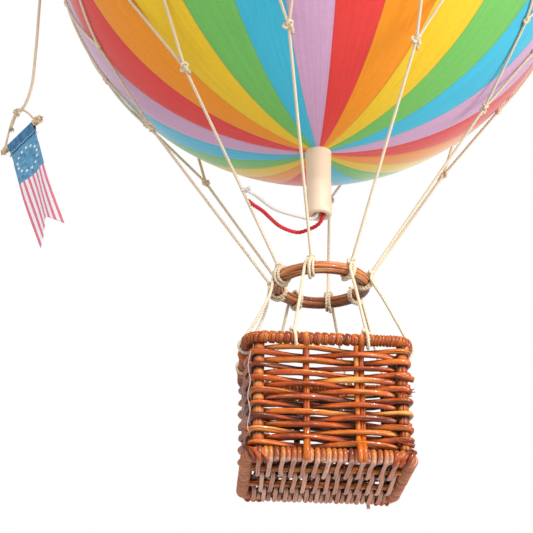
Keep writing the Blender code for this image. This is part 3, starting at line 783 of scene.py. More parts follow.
def makeSkinPaint():
    paint = Paint("envelope_cloth", roughness=0.55, specular_ior_level=0.25, sheen_weight=0.75,
                  sheen_roughness=0.30)
    axes = paint.add("ShaderNodeSeparateXYZ", {}, {0: paint.place})
    x, y, z = axes["X"], axes["Y"], axes["Z"]
    angle = x.maths("ARCTAN2", x, y * -1.0) * (180 / math.pi)        # degrees right of the front
    drift = paint.noise(paint.place, 90.0, 3.0)
    count = len(rainbow)
    gores = (angle - skin["turn"] + (drift - 0.5) * 0.25) / (skin["gore"] * count)
    place = gores.wrap(0.0, 1.0)
    hue = paint.ramp(place, [(index / count, colour) for index, colour in enumerate(rainbow)],
                     steps=True)
    fade = paint.noise(paint.vector("MULTIPLY", paint.place, (1.0, 1.0, 0.5)), 16.0, 3.0)
    tinted = paint.mix(fade * 0.04, hue, paint.mix(0.5, hue, screen(255, 246, 232)))
    seam = (place * float(count)).wrap(-0.5, 0.5).size()             # 0 on a seam
    close = (1.0 - seam * 22.0).limit()
    lined = paint.mix(close * 0.30, tinted, paint.mix(0.55, tinted, screen(96, 60, 50)))
    height = z - ball["z"]
    polar = (height.size() / ball["radius"]).power(6.0)
    pleat = paint.noise(paint.join(angle * 0.55, height * 4.0), 1.0, 2.0)
    brushed = paint.noise(paint.join(angle * 0.9, height * 26.0), 1.0, 4.0, 0.65)
    mottled = paint.noise(paint.place, 420.0, 4.0, 0.7)
    wear = paint.ramp(brushed * 0.6 + mottled * 0.4,
                      [(0.34, (0.86, 0.86, 0.86)), (0.62, (1.0, 1.0, 1.0))])
    paint.set("Base Color", paint.mix(1.0, lined, wear, "MULTIPLY"))
    latitude = height.maths("ARCSINE", height * (0.999 / ball["radius"])) * (180 / math.pi)
    warp = (angle * (2 * math.pi / 0.30)).wave() * 0.5
    weft = (latitude * (2 * math.pi / 0.21)).wave() * 0.5
    grain = paint.noise(paint.place, 1500.0, 2.0)
    paint.bump((warp + weft) * 0.16 + grain * 0.5 + pleat * polar * 3.0 - close * 1.2 + fade * 2.0,
               0.00016, 0.55)
    return paint.material


skinPaint = makeSkinPaint()


def rank(place):                             # orders places from the bottom up, each ring by its angle
    return round(place.z * 1e6) * 1000 + math.degrees(math.atan2(place.y, place.x))


def makeSkin():
    work = bmesh.new()
    bmesh.ops.create_uvsphere(work, u_segments=skin["segments"], v_segments=skin["rings"],
                              radius=ball["radius"],
                              matrix=Matrix.Rotation(math.radians(-90 + skin["turn"]), 4, "Z"))
    work.verts.sort(key=lambda vert: rank(vert.co))      # the same order each run
    work.faces.sort(key=lambda face: rank(face.calc_center_median()))
    for vert in work.verts:
        angle = math.degrees(math.atan2(vert.co.x, -vert.co.y)) - skin["turn"]
        level = math.cos(math.asin(max(-1.0, min(1.0, vert.co.z / ball["radius"]))))
        seam = abs((angle / skin["gore"] + 0.5) % 1.0 - 0.5) * 2     # 0 on a seam, 1 in mid-gore
        dent = skin["seam"] * max(0.0, 1 - seam * 4)
        swell = skin["buckle"] * noise(vert.co * 26) * level
        vert.co *= 1 - (dent + abs(swell) * 0.6) / ball["radius"]
    bmesh.ops.translate(work, verts=work.verts, vec=centre)
    mesh = bpy.data.meshes.new("envelopeSkin")
    work.to_mesh(mesh)
    work.free()
    mesh.materials.append(skinPaint)
    mesh.shade_smooth()
    dress(keep("envelopeSkin", mesh), "balloon", "envelope_cloth", "envelope")


makeSkin()
print("ball done")


# Neck tube: pale and smooth, with a flared lip at its mouth

neck = {
    "profile": (                             # radius, and height over the tube's end
        (0.0036, 0.0500), (0.0036, 0.0012), (0.0040, 0.0004), (0.0047, 0.0001), (0.0060, 0.0),
        (0.0068, 0.0003), (0.0072, 0.0012), (0.00725, 0.0030), (0.0071, 0.0070),
        (0.0070, 0.0130), (0.0070, 0.0220), (0.0072, 0.0320), (0.0075, 0.0400),
        (0.0077, 0.0440), (0.0078, 0.0500)),
    "steps": 64,
    "end": -0.2004,
}


def makeTubePaint():
    paint = Paint("paper_tube", roughness=0.42, coat_weight=0.12, coat_roughness=0.35,
                  sheen_weight=0.1)
    streak = paint.noise(paint.vector("MULTIPLY", paint.place, (1.0, 1.0, 0.06)), 900.0, 3.0)
    mottle = paint.noise(paint.place, 140.0, 3.0)
    base = paint.mix(mottle, screen(238, 216, 192), screen(230, 202, 172))
    paint.set("Base Color", paint.mix(streak * 0.35, base, screen(222, 190, 156)))
    paint.bump(streak + mottle * 0.6, 0.00012, 0.5)
    return paint.material


tubePaint = makeTubePaint()


def lathe(name, profile, steps, height, material):       # a closed profile turned about the axis
    work = bmesh.new()
    rings = []
    for step in range(steps):
        turn = 2 * math.pi * step / steps
        rings.append([work.verts.new((radius * math.cos(turn), radius * math.sin(turn), height + up))
                      for radius, up in profile])
    count = len(profile)
    for first, second in zip(rings, rings[1:] + rings[:1]):
        for i in range(count):
            j = (i + 1) % count
            work.faces.new((first[i], first[j], second[j], second[i]))
    bmesh.ops.remove_doubles(work, verts=work.verts, dist=0.000001)
    bmesh.ops.recalc_face_normals(work, faces=work.faces)
    mesh = bpy.data.meshes.new(name)
    work.to_mesh(mesh)
    work.free()
    mesh.materials.append(material)
    mesh.shade_smooth()
    mesh.set_sharp_from_angle(angle=math.radians(50))
    return keep(name, mesh)


tube = lathe("neckTube", neck["profile"], neck["steps"], ball["z"] + neck["end"], tubePaint)
dress(tube, "balloon", "paper_tube", "neck_tube")


# The basket's sizes, and the finishes of cane

basket = {
    "turn": 5.5,
    "lean": -0.016,                          # it hangs a little low on its right
    "halfX": 0.044, "halfY": 0.040,
    "rimZ": ball["z"] - 0.2894, "rimCane": 0.0030,
    "footZ": ball["z"] - 0.3508, "footCane": 0.0033,
    "corner": 0.009,
    "wallX": 0.0380, "wallY": 0.0340, "post": 0.0027,
}
basketSpin = (Matrix.Rotation(math.radians(basket["turn"]), 3, "Z")
              @ Matrix(((1, 0, 0), (0, 1, 0), (basket["lean"], 0, 1))))


def hung(points):                            # points in the basket's own axes, as the basket hangs
    return [basketSpin @ point for point in points]


canes = {                                    # the shades of each cane, from dark to pale
    "dark": ((44, 14, 5), (108, 46, 20), (170, 88, 44), (216, 136, 80), (250, 204, 152)),
    "rod": ((64, 16, 3), (140, 48, 10), (198, 84, 19), (227, 127, 38), (250, 189, 108)),
    "wrap": ((60, 14, 2), (138, 50, 8), (192, 82, 14), (222, 118, 28), (250, 182, 98)),
    "matte": ((92, 42, 24), (166, 92, 60), (206, 126, 84), (222, 150, 112), (240, 190, 160)),
    # the colour of painted shade on any cane
    "shadow": (36, 9, 2),
}


# under: how much painted shade darkens its lower side. bound: the cane is wound in turns.
def makeCanePaint(name, stops, gloss, coat, under=0.0, bound=False):
    paint = Paint(name, roughness=gloss, specular_ior_level=0.35, coat_weight=coat,
                  coat_roughness=0.10)
    uv = paint.uv()
    shade = paint.attribute("shade")
    run = uv["X"]
    dark, pale = screen(*stops[0]), screen(*stops[-1])
    streak = paint.noise(paint.join(run * 50.0, uv["Y"] * 5.0, shade * 30.0), 1.0, 4.0, 0.7)
    patch = paint.noise(paint.join(run * 40.0, uv["Y"] * 1.5, shade * 50.0), 1.0, 3.0)
    tone = shade * 0.62 + patch * 1.05 - 0.34
    base = paint.ramp(tone, [(0.04 + 0.92 * index / (len(stops) - 1), screen(*stop))
                             for index, stop in enumerate(stops)])
    line = paint.noise(paint.join(run * 12.0, uv["Y"] * 7.0, shade * 11.0), 1.0, 3.0, 0.75)
    grained = paint.mix(((streak - 0.52) * 4.5).limit(), base, dark)
    flecked = paint.mix(((0.40 - streak) * 3.5).limit(), grained, pale)
    lined = paint.mix(((0.45 - line) * 13.0).limit() * 0.85, flecked, dark)
    crack = paint.noise(paint.place, 700.0, 4.0, 0.7)
    worn = paint.mix(((crack - 0.55) * 1.5).limit(), lined, pale)
    lift = paint.attribute("lift")
    # painted shade: inside the basket's walls, from each strand's dim attribute, and under the cane
    paintedShade = paint.innerShade() + paint.attribute("dim") + ((0.30 - lift) * 0.85).limit() * under
    if bound:                                # painted shade where one turn meets the next
        gap = (uv["Y"] * (4 * math.pi) + 0.6).cosine()
        paintedShade = paintedShade + (gap - 0.30).limit() * 1.5
        # painted highlight along the middle of each turn
        worn = paint.mix((-0.75 - gap).limit() * 1.2, worn, pale)
    paint.set("Base Color", paint.mix((paintedShade * 0.9).limit(), worn, screen(*canes["shadow"])))
    paint.set("Roughness", gloss + (streak - 0.3) * 0.25)
    paint.bump(streak * 0.6 + line * 0.9 + crack * 0.4, 0.00022, 0.7)
    return paint.material


ringPaint = makeCanePaint("cane_dark", canes["dark"], 0.32, 0.25, 0.2)
canePaint = makeCanePaint("cane", canes["rod"], 0.26, 0.4, 0.55)
plainPaint = makeCanePaint("cane_plain", canes["rod"], 0.35, 0.2)
wrapPaint = makeCanePaint("cane_wrap", canes["wrap"], 0.28, 0.4, 0.40, bound=True)
mattePaint = makeCanePaint("cane_matte", canes["matte"], 0.55, 0.0, bound=True)


# Load ring: a bundle of dark canes

ring = {
    "radius": 0.0242,
    "z": ball["z"] - 0.2432,
    "cane": 0.0035,                          # radius of the whole bundle
    "canes": 7,
    "lay": 0.00210,                          # how far a cane lies from the bundle's middle
    "rod": 0.00128,
    "core": 0.0017,
    "steps": 96,
}


def makeRing():
    draw = random.Random(11)
    strands = []
    turns = [2 * math.pi * step / ring["steps"] for step in range(ring["steps"])]
    for cane in range(ring["canes"]):
        start = 2 * math.pi * cane / ring["canes"]
        points = []
        for turn in turns:
            way = Vector((math.cos(turn), math.sin(turn), 0))
            roll = start + math.sin(turn + 0.7) * 0.16
            reach = ring["lay"] + 0.00022 * noise(Vector((way.x * 2, way.y * 2, cane)))
            points.append(way * (ring["radius"] + reach * math.cos(roll))
                          + zWay * (ring["z"] + reach * math.sin(roll)))
        shadow = [0.17 + 0.17 * math.cos(turn - 1.7) for turn in turns]          # painted shade: the far side is darker
        strands.append(Strand(points, ring["rod"] + 0.0001 * draw.random(), draw.uniform(0.35, 0.95),
                              True, shadow))
    strands.append(Strand(circle(zWay * ring["z"], xWay, yWay, ring["radius"], 64), ring["core"], 0.1,
                          True))
    piece = sweep("loadRing", strands, ringPaint, 0.0011, sides=12, lobes=4, depth=0.07, twist=8.0,
                  uneven=0.10, seed=2.0)
    dress(piece, "balloon", "cane_dark", "load_ring")


makeRing()
print("ring done")


# Strings: eight stays from the ring to the net, the net on the ball, eight lines to the basket

string = {
    "radius": 0.00085,
    "below": 55.0,                           # how many degrees below the equator the stays' knots are
    "knot": 0.0021,
    "twist": 1400.0,
    "spacing": 0.00042,
    "lash": 1.9,                             # turns of a lashing round the ring
    "tie": 0.95,                             # and of a basket line round the rim
}
lie = ball["radius"] + string["radius"] + 0.0001         # a string's middle, lying on the ball

# ring: where a string is lashed, in degrees. roll: where on the ring's section its stay starts.
# knot and out: where the stay parts, in degrees and ball radii, and below, where that isn't as usual.
# near and far: the two knots of the net that its legs reach, degrees round and below the equator.
# lead: how far round the ring the basket line starts. rim: where it lands, in the basket's own axes.
# bow: how far the line's middle is drawn outwards.
runs = (
    {"ring": 12, "roll": 45, "knot": 4.3, "out": 1.043, "near": (3.3, 37.8), "far": (20.0, 39.0),
     "lead": 4, "rim": (0.0410, -0.0260)},
    {"ring": 52, "roll": 52, "knot": 58.3, "out": 1.080, "near": (50.0, 38.0), "far": (62.5, 38.5),
     "lead": 4, "rim": (0.0195, -0.0370)},
    {"ring": 101, "roll": 90, "knot": 98.4, "out": 1.058, "near": (93.0, 38.0),
     "far": (103.5, 38.5), "lead": 5.5, "rim": (-0.0173, -0.0370)},
    {"ring": 146, "roll": 58, "knot": 138, "out": 1.070, "below": 56.0, "near": (132.0, 37.0),
     "far": (145.5, 37.5), "lead": 6, "rim": (-0.0410, -0.0230), "bow": -0.0027},
    {"ring": 195, "roll": 40, "knot": 181.1, "out": 1.063, "near": (171.2, 36.9),
     "far": (188.5, 36.0), "lead": -5, "rim": (-0.0410, 0.0080), "bow": -0.0024},
    {"ring": 235, "roll": 20, "knot": 223.9, "out": 1.073, "near": (201.5, 45.0),
     "far": (230.5, 38.0), "lead": -4, "rim": (-0.0245, 0.0370)},
    {"ring": 280, "roll": 85, "knot": 273.9, "out": 1.065, "near": (264.0, 38.0),
     "far": (281.0, 38.5), "lead": 3, "rim": (0.0180, 0.0370)},
    {"ring": 322, "roll": 42, "knot": 321, "out": 1.082, "near": (315.0, 40.0),
     "far": (341.5, 44.0), "lead": 0, "rim": (0.0395, 0.0366)},
)
net = {
    "rows": (-18.0, 0.0, 18.0, 35.0, 50.0, 63.0, 74.0),      # the height of each further row of knots
    "crown": 83.6,                           # where its strings leave the ball for the crown cap
    "cap": 0.0019,                           # height of the cap over the ball
    "gather": 0.0062,                        # radius of the net's own ring round the foot of the eye
    "knot": 0.0019,
    "wander": 0.8,                           # degrees that a knot strays
}


def direction(angle, latitude):
    return around(angle, math.cos(math.radians(latitude)), math.sin(math.radians(latitude)))


def bend(first, second, part):               # along the great circle between two directions
    whole = first.angle(second)
    return (first * math.sin((1 - part) * whole) + second * math.sin(part * whole)) / math.sin(whole)


def standOff(knotWay, out, way):             # how far a leg is from the ball's centre, on its way there
    leaves = math.acos(lie / (out * ball["radius"]))
    gone = knotWay.angle(way)
    return lie / math.cos(leaves - gone) if gone < leaves else lie


def knotDirection(run):                      # from the ball's centre to where a stay parts
    return direction(run["knot"], -run.get("below", string["below"]))


def legPath(run, knotWay, target):
    way = direction(target[0], -target[1])
    points = []
    for step in range(25):
        here = bend(knotWay, way, step / 24) if step else knotWay
        points.append(centre + here * standOff(knotWay, run["out"], here))
    return points


def ringPoint(angle, roll, radius):          # a point round the ring's section, 0 outwards and 90 up
    out = around(angle, 1.0, 0.0)
    turn = math.radians(roll)
    return (around(angle, ring["radius"], ring["z"])
            + (out * math.cos(turn) + zWay * math.sin(turn)) * radius)


def lashing(angle, seed):                    # string wound round the ring, and its crossing turn
    draw = random.Random(seed)
    hold = ring["cane"] + string["radius"] * 0.85
    pitch = math.degrees(string["radius"] * 2.15 / ring["radius"])
    points = []
    turns = string["lash"]
    steps = round(turns * 18)
    for step in range(steps + 1):
        part = step / steps
        sway = 0.000125 * math.sin(step * 1.7 + seed)
        points.append(ringPoint(angle + (part - 0.5) * pitch * turns + draw.uniform(-0.2, 0.2),
                                90 - 360 * turns * part, hold + sway))
    cross = [ringPoint(angle + pitch * (1.5 * part - 0.7), 120 - 250 * part,
                       hold + string["radius"] * 1.25) for part in (k / 14 for k in range(15))]
    return points, cross


def rimLoop(run):                            # a string tied round the rim, as it comes from above
    x, y = run["rim"]
    side = abs(x) > basket["halfX"] - basket["rimCane"] - 0.0005
    out = xWay * math.copysign(1, x) if side else yWay * math.copysign(1, y)
    along = zWay.cross(out)
    hold = basket["rimCane"] + string["radius"] * 1.25
    base = Vector((x, y, basket["rimZ"]))
    points = []
    for step in range(round(string["tie"] * 14) + 1):
        turn = math.radians(62 - 360 * step / 14)
        facing = out * math.cos(turn) + zWay * math.sin(turn)
        points.append(base + along * (string["radius"] * 2.2 * step / 14) + facing * hold)
    lump = base - along * 0.0008 + zWay * (hold + 0.0004) + out * 0.001
    return hung(points), *hung([lump, out, along])


def sweepString(name, strands, seed):
    return sweep(name, strands, stringPaint, string["spacing"], sides=6, depth=0.09,
                 twist=string["twist"], seed=seed)


def makeStay(number, run):                   # from the ring up to its knot, then two legs to the net
    thick = string["radius"]
    knotWay = knotDirection(run)
    knot = centre + knotWay * run["out"] * ball["radius"]
    start = ringPoint(run["ring"], run["roll"], ring["cane"] + thick + 0.0004)
    way = (knot - start).normalized()
    side = way.cross(knotWay).normalized()
    trunk = [start, start.lerp(knot, 0.33), start.lerp(knot, 0.66), knot]
    strands = [Strand(smoothPath(trunk, 0.002), thick, 0.35)]
    strands += [Strand(legPath(run, knotWay, run[key]), thick, 0.35) for key in ("near", "far")]
    strands.append(Strand(knotPath(knot, way, side, string["knot"] * 1.25), thick, 0.45, True))
    strands.append(Strand(knotPath(start + way * 0.0006, way, side, string["knot"]), thick, 0.5, True))
    tail = [knot, knot - way * 0.002 + side * 0.0016, knot - way * 0.0042 + side * 0.0020]
    strands.append(Strand(smoothPath(tail, 0.0006), thick * 0.9, 0.6))
    strands += tuft(tail[-1], -way, 0.0016, 0.0008, 12, number, 0.4)
    stay = sweepString(f"stay_{number}_string", strands, number)
    dress(stay, "balloon", "string", f"stay_{number}")


def makeLine(number, run):                   # lashed round the ring, then down to a tie round the rim
    thick = string["radius"]
    hold = ring["cane"] + thick
    coil, cross = lashing(run["ring"], number)
    loop, lump, out, along = rimLoop(run)
    lead = [ringPoint(run["ring"], 60, hold + 0.0006),
            ringPoint(run["ring"] + run["lead"] * 0.6, 30, hold + 0.0008)]
    start = ringPoint(run["ring"] + run["lead"], -10, hold + 0.0003)
    bow = out * run.get("bow", 0.0006)
    fall = [start, start.lerp(loop[0], 0.3) + bow, start.lerp(loop[0], 0.7) + bow * 0.7]
    strands = [Strand(coil, thick, 0.55), Strand(cross, thick, 0.5)]
    strands.append(Strand(smoothPath(lead + fall + loop, 0.0008), thick, 0.4))
    strands.append(Strand(knotPath(lump, along, out, string["knot"] * 0.66), thick * 0.9, 0.6, True))
    end = [lump, lump - along * 0.0008 + out * 0.001, lump - along * 0.0012 - out * 0.0010]
    strands.append(Strand(smoothPath(end, 0.0006), thick * 0.8, 0.6))
    line = sweepString(f"line_{number}_string", strands, 20 + number)
    dress(line, "balloon", "string", f"basket_line_{number}")


def tieSpot(side):                           # where a pennant is tied to the net, from the frame
    low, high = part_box("pennant_tie_" + side)
    return (low + high) / 2


def degreesApart(first, second):
    return abs((first - second + 180) % 360 - 180)


def netRows():
    draw = random.Random(41)
    first = []
    for run in runs:
        knotWay = knotDirection(run)
        for key in ("near", "far"):
            angle, latitude = run[key]
            way = direction(angle, -latitude)
            first.append((angle % 360, -latitude, standOff(knotWay, run["out"], way)))
    rows = [sorted(first)]
    spots = [tieSpot(side) for side in ("left", "right")]
    ties = [math.degrees(math.atan2(-spot.y, spot.x)) % 360 for spot in spots]
    for latitude in net["rows"]:
        below = [knot[0] for knot in rows[-1]]
        middles = [(a + (b - a) % 360 / 2) % 360 for a, b in zip(below, below[1:] + below[:1])]
        row = []
        for angle in middles:
            angle += draw.uniform(-1, 1) * net["wander"]
            height = latitude + draw.uniform(-1, 1) * net["wander"]
            if latitude == 0.0:              # the knots nearest to the pennants' ties move to them
                near = min(ties, key=lambda tie: degreesApart(angle, tie))
                if degreesApart(angle, near) < 6.0:
                    angle, height = near, 0.0
            row.append((angle % 360, height, lie))
        rows.append(sorted(row))
    return rows


def onBall(first, second):                   # a string lying on the ball between two knots
    a = direction(first[0], first[1])
    b = direction(second[0], second[1])
    count = max(2, round(a.angle(b) * ball["radius"] / 0.003))
    points = []
    for step in range(count + 1):
        part = step / count
        out = lie + (first[2] - lie) * (1 - part) ** 3 + (second[2] - lie) * part ** 3
        points.append(centre + bend(a, b, part) * out)
    return points


def makeKnotMesh():                          # one drawn-up knot, laid in XY, with a cut tail
    points = knotPath(Vector(), xWay, yWay, net["knot"], 15, 1.1)
    tail = [Vector(), Vector((0.0012, 0.0014, 0.0006)), Vector((0.0017, 0.0030, 0.0003))]
    piece = sweep("netKnotPattern", [Strand(points, string["radius"], 0.5, True),
                                     Strand(tail, string["radius"] * 0.8, 0.6)],
                  stringPaint, 0.0011, sides=5)
    piece.hide_render = True
    return piece


def makeKnotTree():                          # the knot on every point, turned to face outwards
    tree = Grower("knots", {"Material": "Material", "Knot": "Object", "Middle": "Vector",
                            "Seed": "Int"})
    source = tree.source
    knot = tree.add("GeometryNodeObjectInfo", {"transform_space": "ORIGINAL"},
                    {"Object": source["Knot"], "As Instance": True})["Geometry"]
    place = tree.add("GeometryNodeInputPosition")
    out = tree.vector("SUBTRACT", place, source["Middle"])
    facing = tree.add("FunctionNodeAlignRotationToVector", {"axis": "Z"}, {"Vector": out})
    spin = tree.random(-1.6, 1.6, source["Seed"])
    turn = tree.add("FunctionNodeAxisAngleToRotation", {}, {"Axis": (0.0, 0.0, 1.0), "Angle": spin})
    spun = tree.add("FunctionNodeRotateRotation", {"rotation_space": "LOCAL"},
                      {0: facing, 1: turn})
    size = tree.random(0.85, 1.15, source["Seed"] + 1.0)
    tree.finish(tree.add("GeometryNodeInstanceOnPoints", {}, {
        "Points": source["Geometry"], "Instance": knot, "Rotation": spun, "Scale": size}))
    return tree


def makeNet():
    rows = netRows()
    strands = []
    thick, top = string["radius"], ball["radius"] + net["cap"]
    draw = random.Random(9)
    for below, above in zip(rows, rows[1:]):
        for knot in below:                   # up to the next row's knots on its left and right
            ahead = [(k[0] - knot[0]) % 360 for k in above]
            for other in (above[ahead.index(max(ahead))], above[ahead.index(min(ahead))]):
                strands.append(Strand(onBall(knot, other), thick, draw.uniform(0.2, 0.55)))
    for knot in rows[-1]:
        up = onBall(knot, (knot[0], net["crown"] - 0.4, lie))
        over = [centre + direction(knot[0], net["crown"] + add) * (top + out)
                for add, out in ((0.6, 0.0006), (2.2, thick), (4.2, thick))]
        strands.append(Strand(up + over, thick, draw.uniform(0.2, 0.5)))
    latitude = 90 - math.degrees(net["gather"] / ball["radius"])
    for lift in (1.6, 3.0):
        hoop = [centre + direction(10 * step, latitude) * (top + thick * lift) for step in range(36)]
        strands.append(Strand(hoop, thick, 0.5, True))
    dress(sweep("netStrings", strands, netPaint, 0.0024, sides=6), "balloon", "string")
    spots = [centre + direction(k[0], k[1]) * (k[2] + 0.0003) for row in rows for k in row]
    points = bpy.data.meshes.new("netKnots")
    points.from_pydata(spots, [], [])
    pattern = makeKnotMesh()
    knots = grow("netKnots", points, makeKnotTree(), material=stringPaint, knot=pattern,
                 middle=centre, seed=4)
    bpy.data.objects.remove(pattern, do_unlink=True)
    dress(knots, "balloon", "string")


def makeTies():                              # the knots that hold the pennants' strings to the net
    for side in ("left", "right"):
        spot = tieSpot(side)
        out = Vector((spot.x, spot.y, 0)).normalized()
        knot = Strand(knotPath(spot, zWay, out, 0.0021), string["radius"], 0.5, True)
        tie = sweep(f"pennantTie_{side}", [knot], stringPaint, 0.0006, sides=6, depth=0.12,
                    twist=string["twist"])
        dress(tie, "balloon", "string", "pennant_tie_" + side)


for number, run in enumerate(runs, 1):
    makeStay(number, run)
    makeLine(number, run)
makeNet()
makeTies()
print("strings done")


# Basket: willow rods woven round posts and stakes, a bound rim, a floor of rods over the foot

weave = {
    "rows": 16,
    "first": basket["rimZ"] - 0.0045, "pitch": 0.00339,
    "starts": (3, 7, 10, 4, 8, 11),          # at which of the twelve places each row's rod starts
    "rod": 0.00156,
    "stake": 0.00155,
    "pair": 0.0027,                          # between the rods of a double stake
    "gap": 0.0027,                           # how far a rod stands off the wall's middle at a stake
    "corner": 0.0035,                        # and off a post
    "ends": (                                # ends that stick out: x, y, depth, way, length, thickness
        (0.0392, -0.0372, 0.0196, (1.0, 0.1, -0.2), 0.0036, 0.0015),
        (0.0388, -0.0362, 0.0540, (1.0, 0.1, -0.3), 0.0030, 0.0011),
        (0.0400, -0.0372, 0.0265, (0.9, -0.2, 0.3), 0.0030, 0.0003),
        (0.0400, -0.0372, 0.0272, (0.9, -0.2, 0.0), 0.0034, 0.00025),
        (0.0400, -0.0372, 0.0290, (0.7, -0.2, -0.3), 0.0022, 0.00025),
        (-0.0400, 0.0372, 0.0250, (-0.9, 0.3, 0.1), 0.0030, 0.0013),
        (0.0380, 0.0372, 0.0420, (0.8, 0.5, -0.1), 0.0030, 0.0014),
        (-0.0392, -0.0330, 0.0480, (-1.0, 0.1, 0.1), 0.0028, 0.0014)),
    "stakes": (                              # side, how far along it, and how many rods together
        ("front", -0.0112, 1), ("front", 0.0156, 2), ("right", -0.0118, 1), ("right", 0.0122, 1),
        ("back", 0.0125, 2), ("back", -0.0110, 1), ("left", 0.0120, 1), ("left", -0.0115, 1)),
    "over": (-38, -8, 18, 40),               # degrees round the rim that a stake's end passes
    # a front stake's end comes down over the foot: off the wall, and above the foot's middle
    "tuck": ((0.0068, -0.0036), (0.0080, -0.0012), (0.0074, 0.0028), (0.0040, 0.0058),
             (0.0008, 0.0105)),
    # loose threads at the left corner: x, y, and their ends above the rim's and the foot's middle
    "threads": ((-0.0402, -0.0385, -0.0085, 0.0105), (-0.0425, -0.0225, -0.0180, 0.0250)),
}
posts = (                                    # name, place and way out; one stands in a little
    ("front_left", Vector((-0.0352, -0.0340, 0)), Vector((-1, -1, 0)).normalized()),
    ("front_right", Vector((0.0376, -0.0340, 0)), Vector((1, -1, 0)).normalized()),
    ("back_right", Vector((0.0380, 0.0340, 0)), Vector((1, 1, 0)).normalized()),
    ("back_left", Vector((-0.0384, 0.0340, 0)), Vector((-1, 1, 0)).normalized()),
)
sides = {                                    # each side's outward way, way along and wall distance
    "front": (-yWay, xWay, basket["wallY"]),
    "right": (xWay, yWay, basket["wallX"]),
    "back": (yWay, xWay, basket["wallY"]),
    "left": (-xWay, yWay, basket["wallX"]),
}


def weavePlaces():                           # the twelve places a rod passes, going round
    def stake(number):
        side, along, _ = weave["stakes"][number]
        out, way, wall = sides[side]
        return out * wall + way * along, out, weave["gap"]

    places = []
    for index, (_, spot, out) in enumerate(posts):
        places.append((spot, out, weave["corner"]))
        places.append(stake(index * 2))
        places.append(stake(index * 2 + 1))
    return places


def makeWeavers():
    draw = random.Random(23)
    places = weavePlaces()
    count = len(places)
    strands = []
    for row in range(weave["rows"]):
        height = weave["first"] - weave["pitch"] * row
        first = weave["starts"][row % len(weave["starts"])]
        line = []
        for step in range(count + 2):        # once round, and on past its own start
            place = (first + step) % count
            spot, out, reach = places[place]
            rise = 0.0
            if step <= 1:
                rise = 0.0010 * (1 - step)
            if step >= count:
                rise = -0.0010
            if place % 3:                    # at a stake, where a rod may slip
                rise += draw.uniform(-0.0007, 0.0007)
            outside = (place + row) % 2 == 1
            line.append(spot + out * (reach if outside else -reach) + zWay * (height + rise))
        points = smoothPath(hung(line), 0.0016)
        thick = weave["rod"] * draw.uniform(0.92, 1.10)
        radii = []
        for i in range(len(points)):
            part = i / (len(points) - 1)
            taper = 1.06 - 0.22 * part
            radii.append(thick * taper * min(1.0, 0.62 + part * 9, 0.62 + (1 - part) * 9))
        shade = 0.16 + 0.68 * ((row * 0.382 + draw.uniform(-0.1, 0.1)) % 1.0)
        strands.append(Strand(points, radii, shade))
    for x, y, depth, way, reach, thick in weave["ends"]:
        start = Vector((x, y, basket["rimZ"] - depth))
        way = Vector(way)
        points = hung([start - way * 0.006, start - way * 0.001, start + way * reach])
        strands.append(Strand(smoothPath(points, 0.0008), thick, draw.uniform(0.2, 0.8)))
    weavers = sweep("basketWeavers", strands, canePaint, 0.0016, sides=14, lobes=3, depth=0.10,
                    twist=22.0, uneven=0.20, seed=5.0)
    dress(weavers, "balloon", "cane", "basket_wall_front", "basket_wall_right", "basket_wall_back",
          "basket_wall_left")


def makePosts():
    top, bottom = basket["rimZ"] + 0.0004, basket["footZ"] - 0.0006
    for index, (name, spot, out) in enumerate(posts):
        points, dim = [], []
        for step in range(121):
            part = step / 120
            sway = 0.0003 * math.sin(part * 5 + index * 2)
            height = bottom + (top - bottom) * part
            points.append(spot + out * sway + zWay * height)
            row = (weave["first"] - height) / weave["pitch"]     # rows down, odd or even outside
            past = (row - (index + 1) % 2) % 2                   # since the last rod outside
            # painted shadow on the post, but for a lit band midway between the rods that pass outside it
            dim.append(0.95 * min(1.0, max(0.0, abs(past - 1.12) * 3.4 - 0.5)))
        post = sweep("basketPost_" + name, [Strand(hung(points), basket["post"], 0.72, dim=dim)],
                     canePaint, 0.0006, sides=14, lobes=4, depth=0.03, uneven=0.05, seed=float(index))
        dress(post, "balloon", "cane", "basket_post_" + name)


def makeThreads():
    strands = []
    for x, y, high, low in weave["threads"]:
        start, end = basket["rimZ"] + high, basket["footZ"] + low
        line = []
        for step in range(15):
            part = step / 14
            line.append(Vector((x + 0.0006 * math.sin(part * 17 + x * 900),
                                y + 0.0005 * math.sin(part * 23), start + part * (end - start))))
        strands.append(Strand(smoothPath(hung(line), 0.0012), 0.00024, 0.4))
    dress(sweep("basketThreads", strands, threadPaint, 0.0012, sides=5), "balloon", "cord_white")


def makeStakes():
    draw = random.Random(31)
    top, bottom = basket["rimZ"] + 0.0004, basket["footZ"] - 0.0006
    hold = basket["rimCane"] - 0.0003
    strands = []
    for side, along, count in weave["stakes"]:
        out, way, wall = sides[side]
        rimOut = wall + basket["rimCane"]
        for rod in range(count):
            shift = way * (along + (rod - (count - 1) / 2) * weave["pair"])
            lean = way * draw.uniform(-0.0008, 0.0008)
            base = out * wall + shift
            if side == "front":
                points = [base + (out + lean * 90) * away + zWay * (basket["footZ"] + rise)
                          for away, rise in weave["tuck"]]
            else:
                points = [base + zWay * (bottom + rise) for rise in (0.001, 0.012)]
            points += [base + zWay * ((bottom + top) / 2), base + zWay * (top - 0.009)]
            # of a pair, only one rod goes on over the rim
            for degrees in weave["over"] if rod == count - 1 else (-90,):
                turn = math.radians(degrees)
                points.append(out * (rimOut + hold * math.cos(turn)) + shift
                              + lean * (degrees - weave["over"][0]) / 190
                              + zWay * (basket["rimZ"] + hold * math.sin(turn)))
            strands.append(Strand(hung(smoothPath(points, 0.0016)),
                                  weave["stake"] * (1.12 if count == 1 else 0.92),
                                  draw.uniform(0.6, 0.85)))
    stakes = sweep("basketStakes", strands, canePaint, 0.0018, sides=10, lobes=3, depth=0.03,
                   uneven=0.08, seed=8.0)
    dress(stakes, "balloon", "cane")


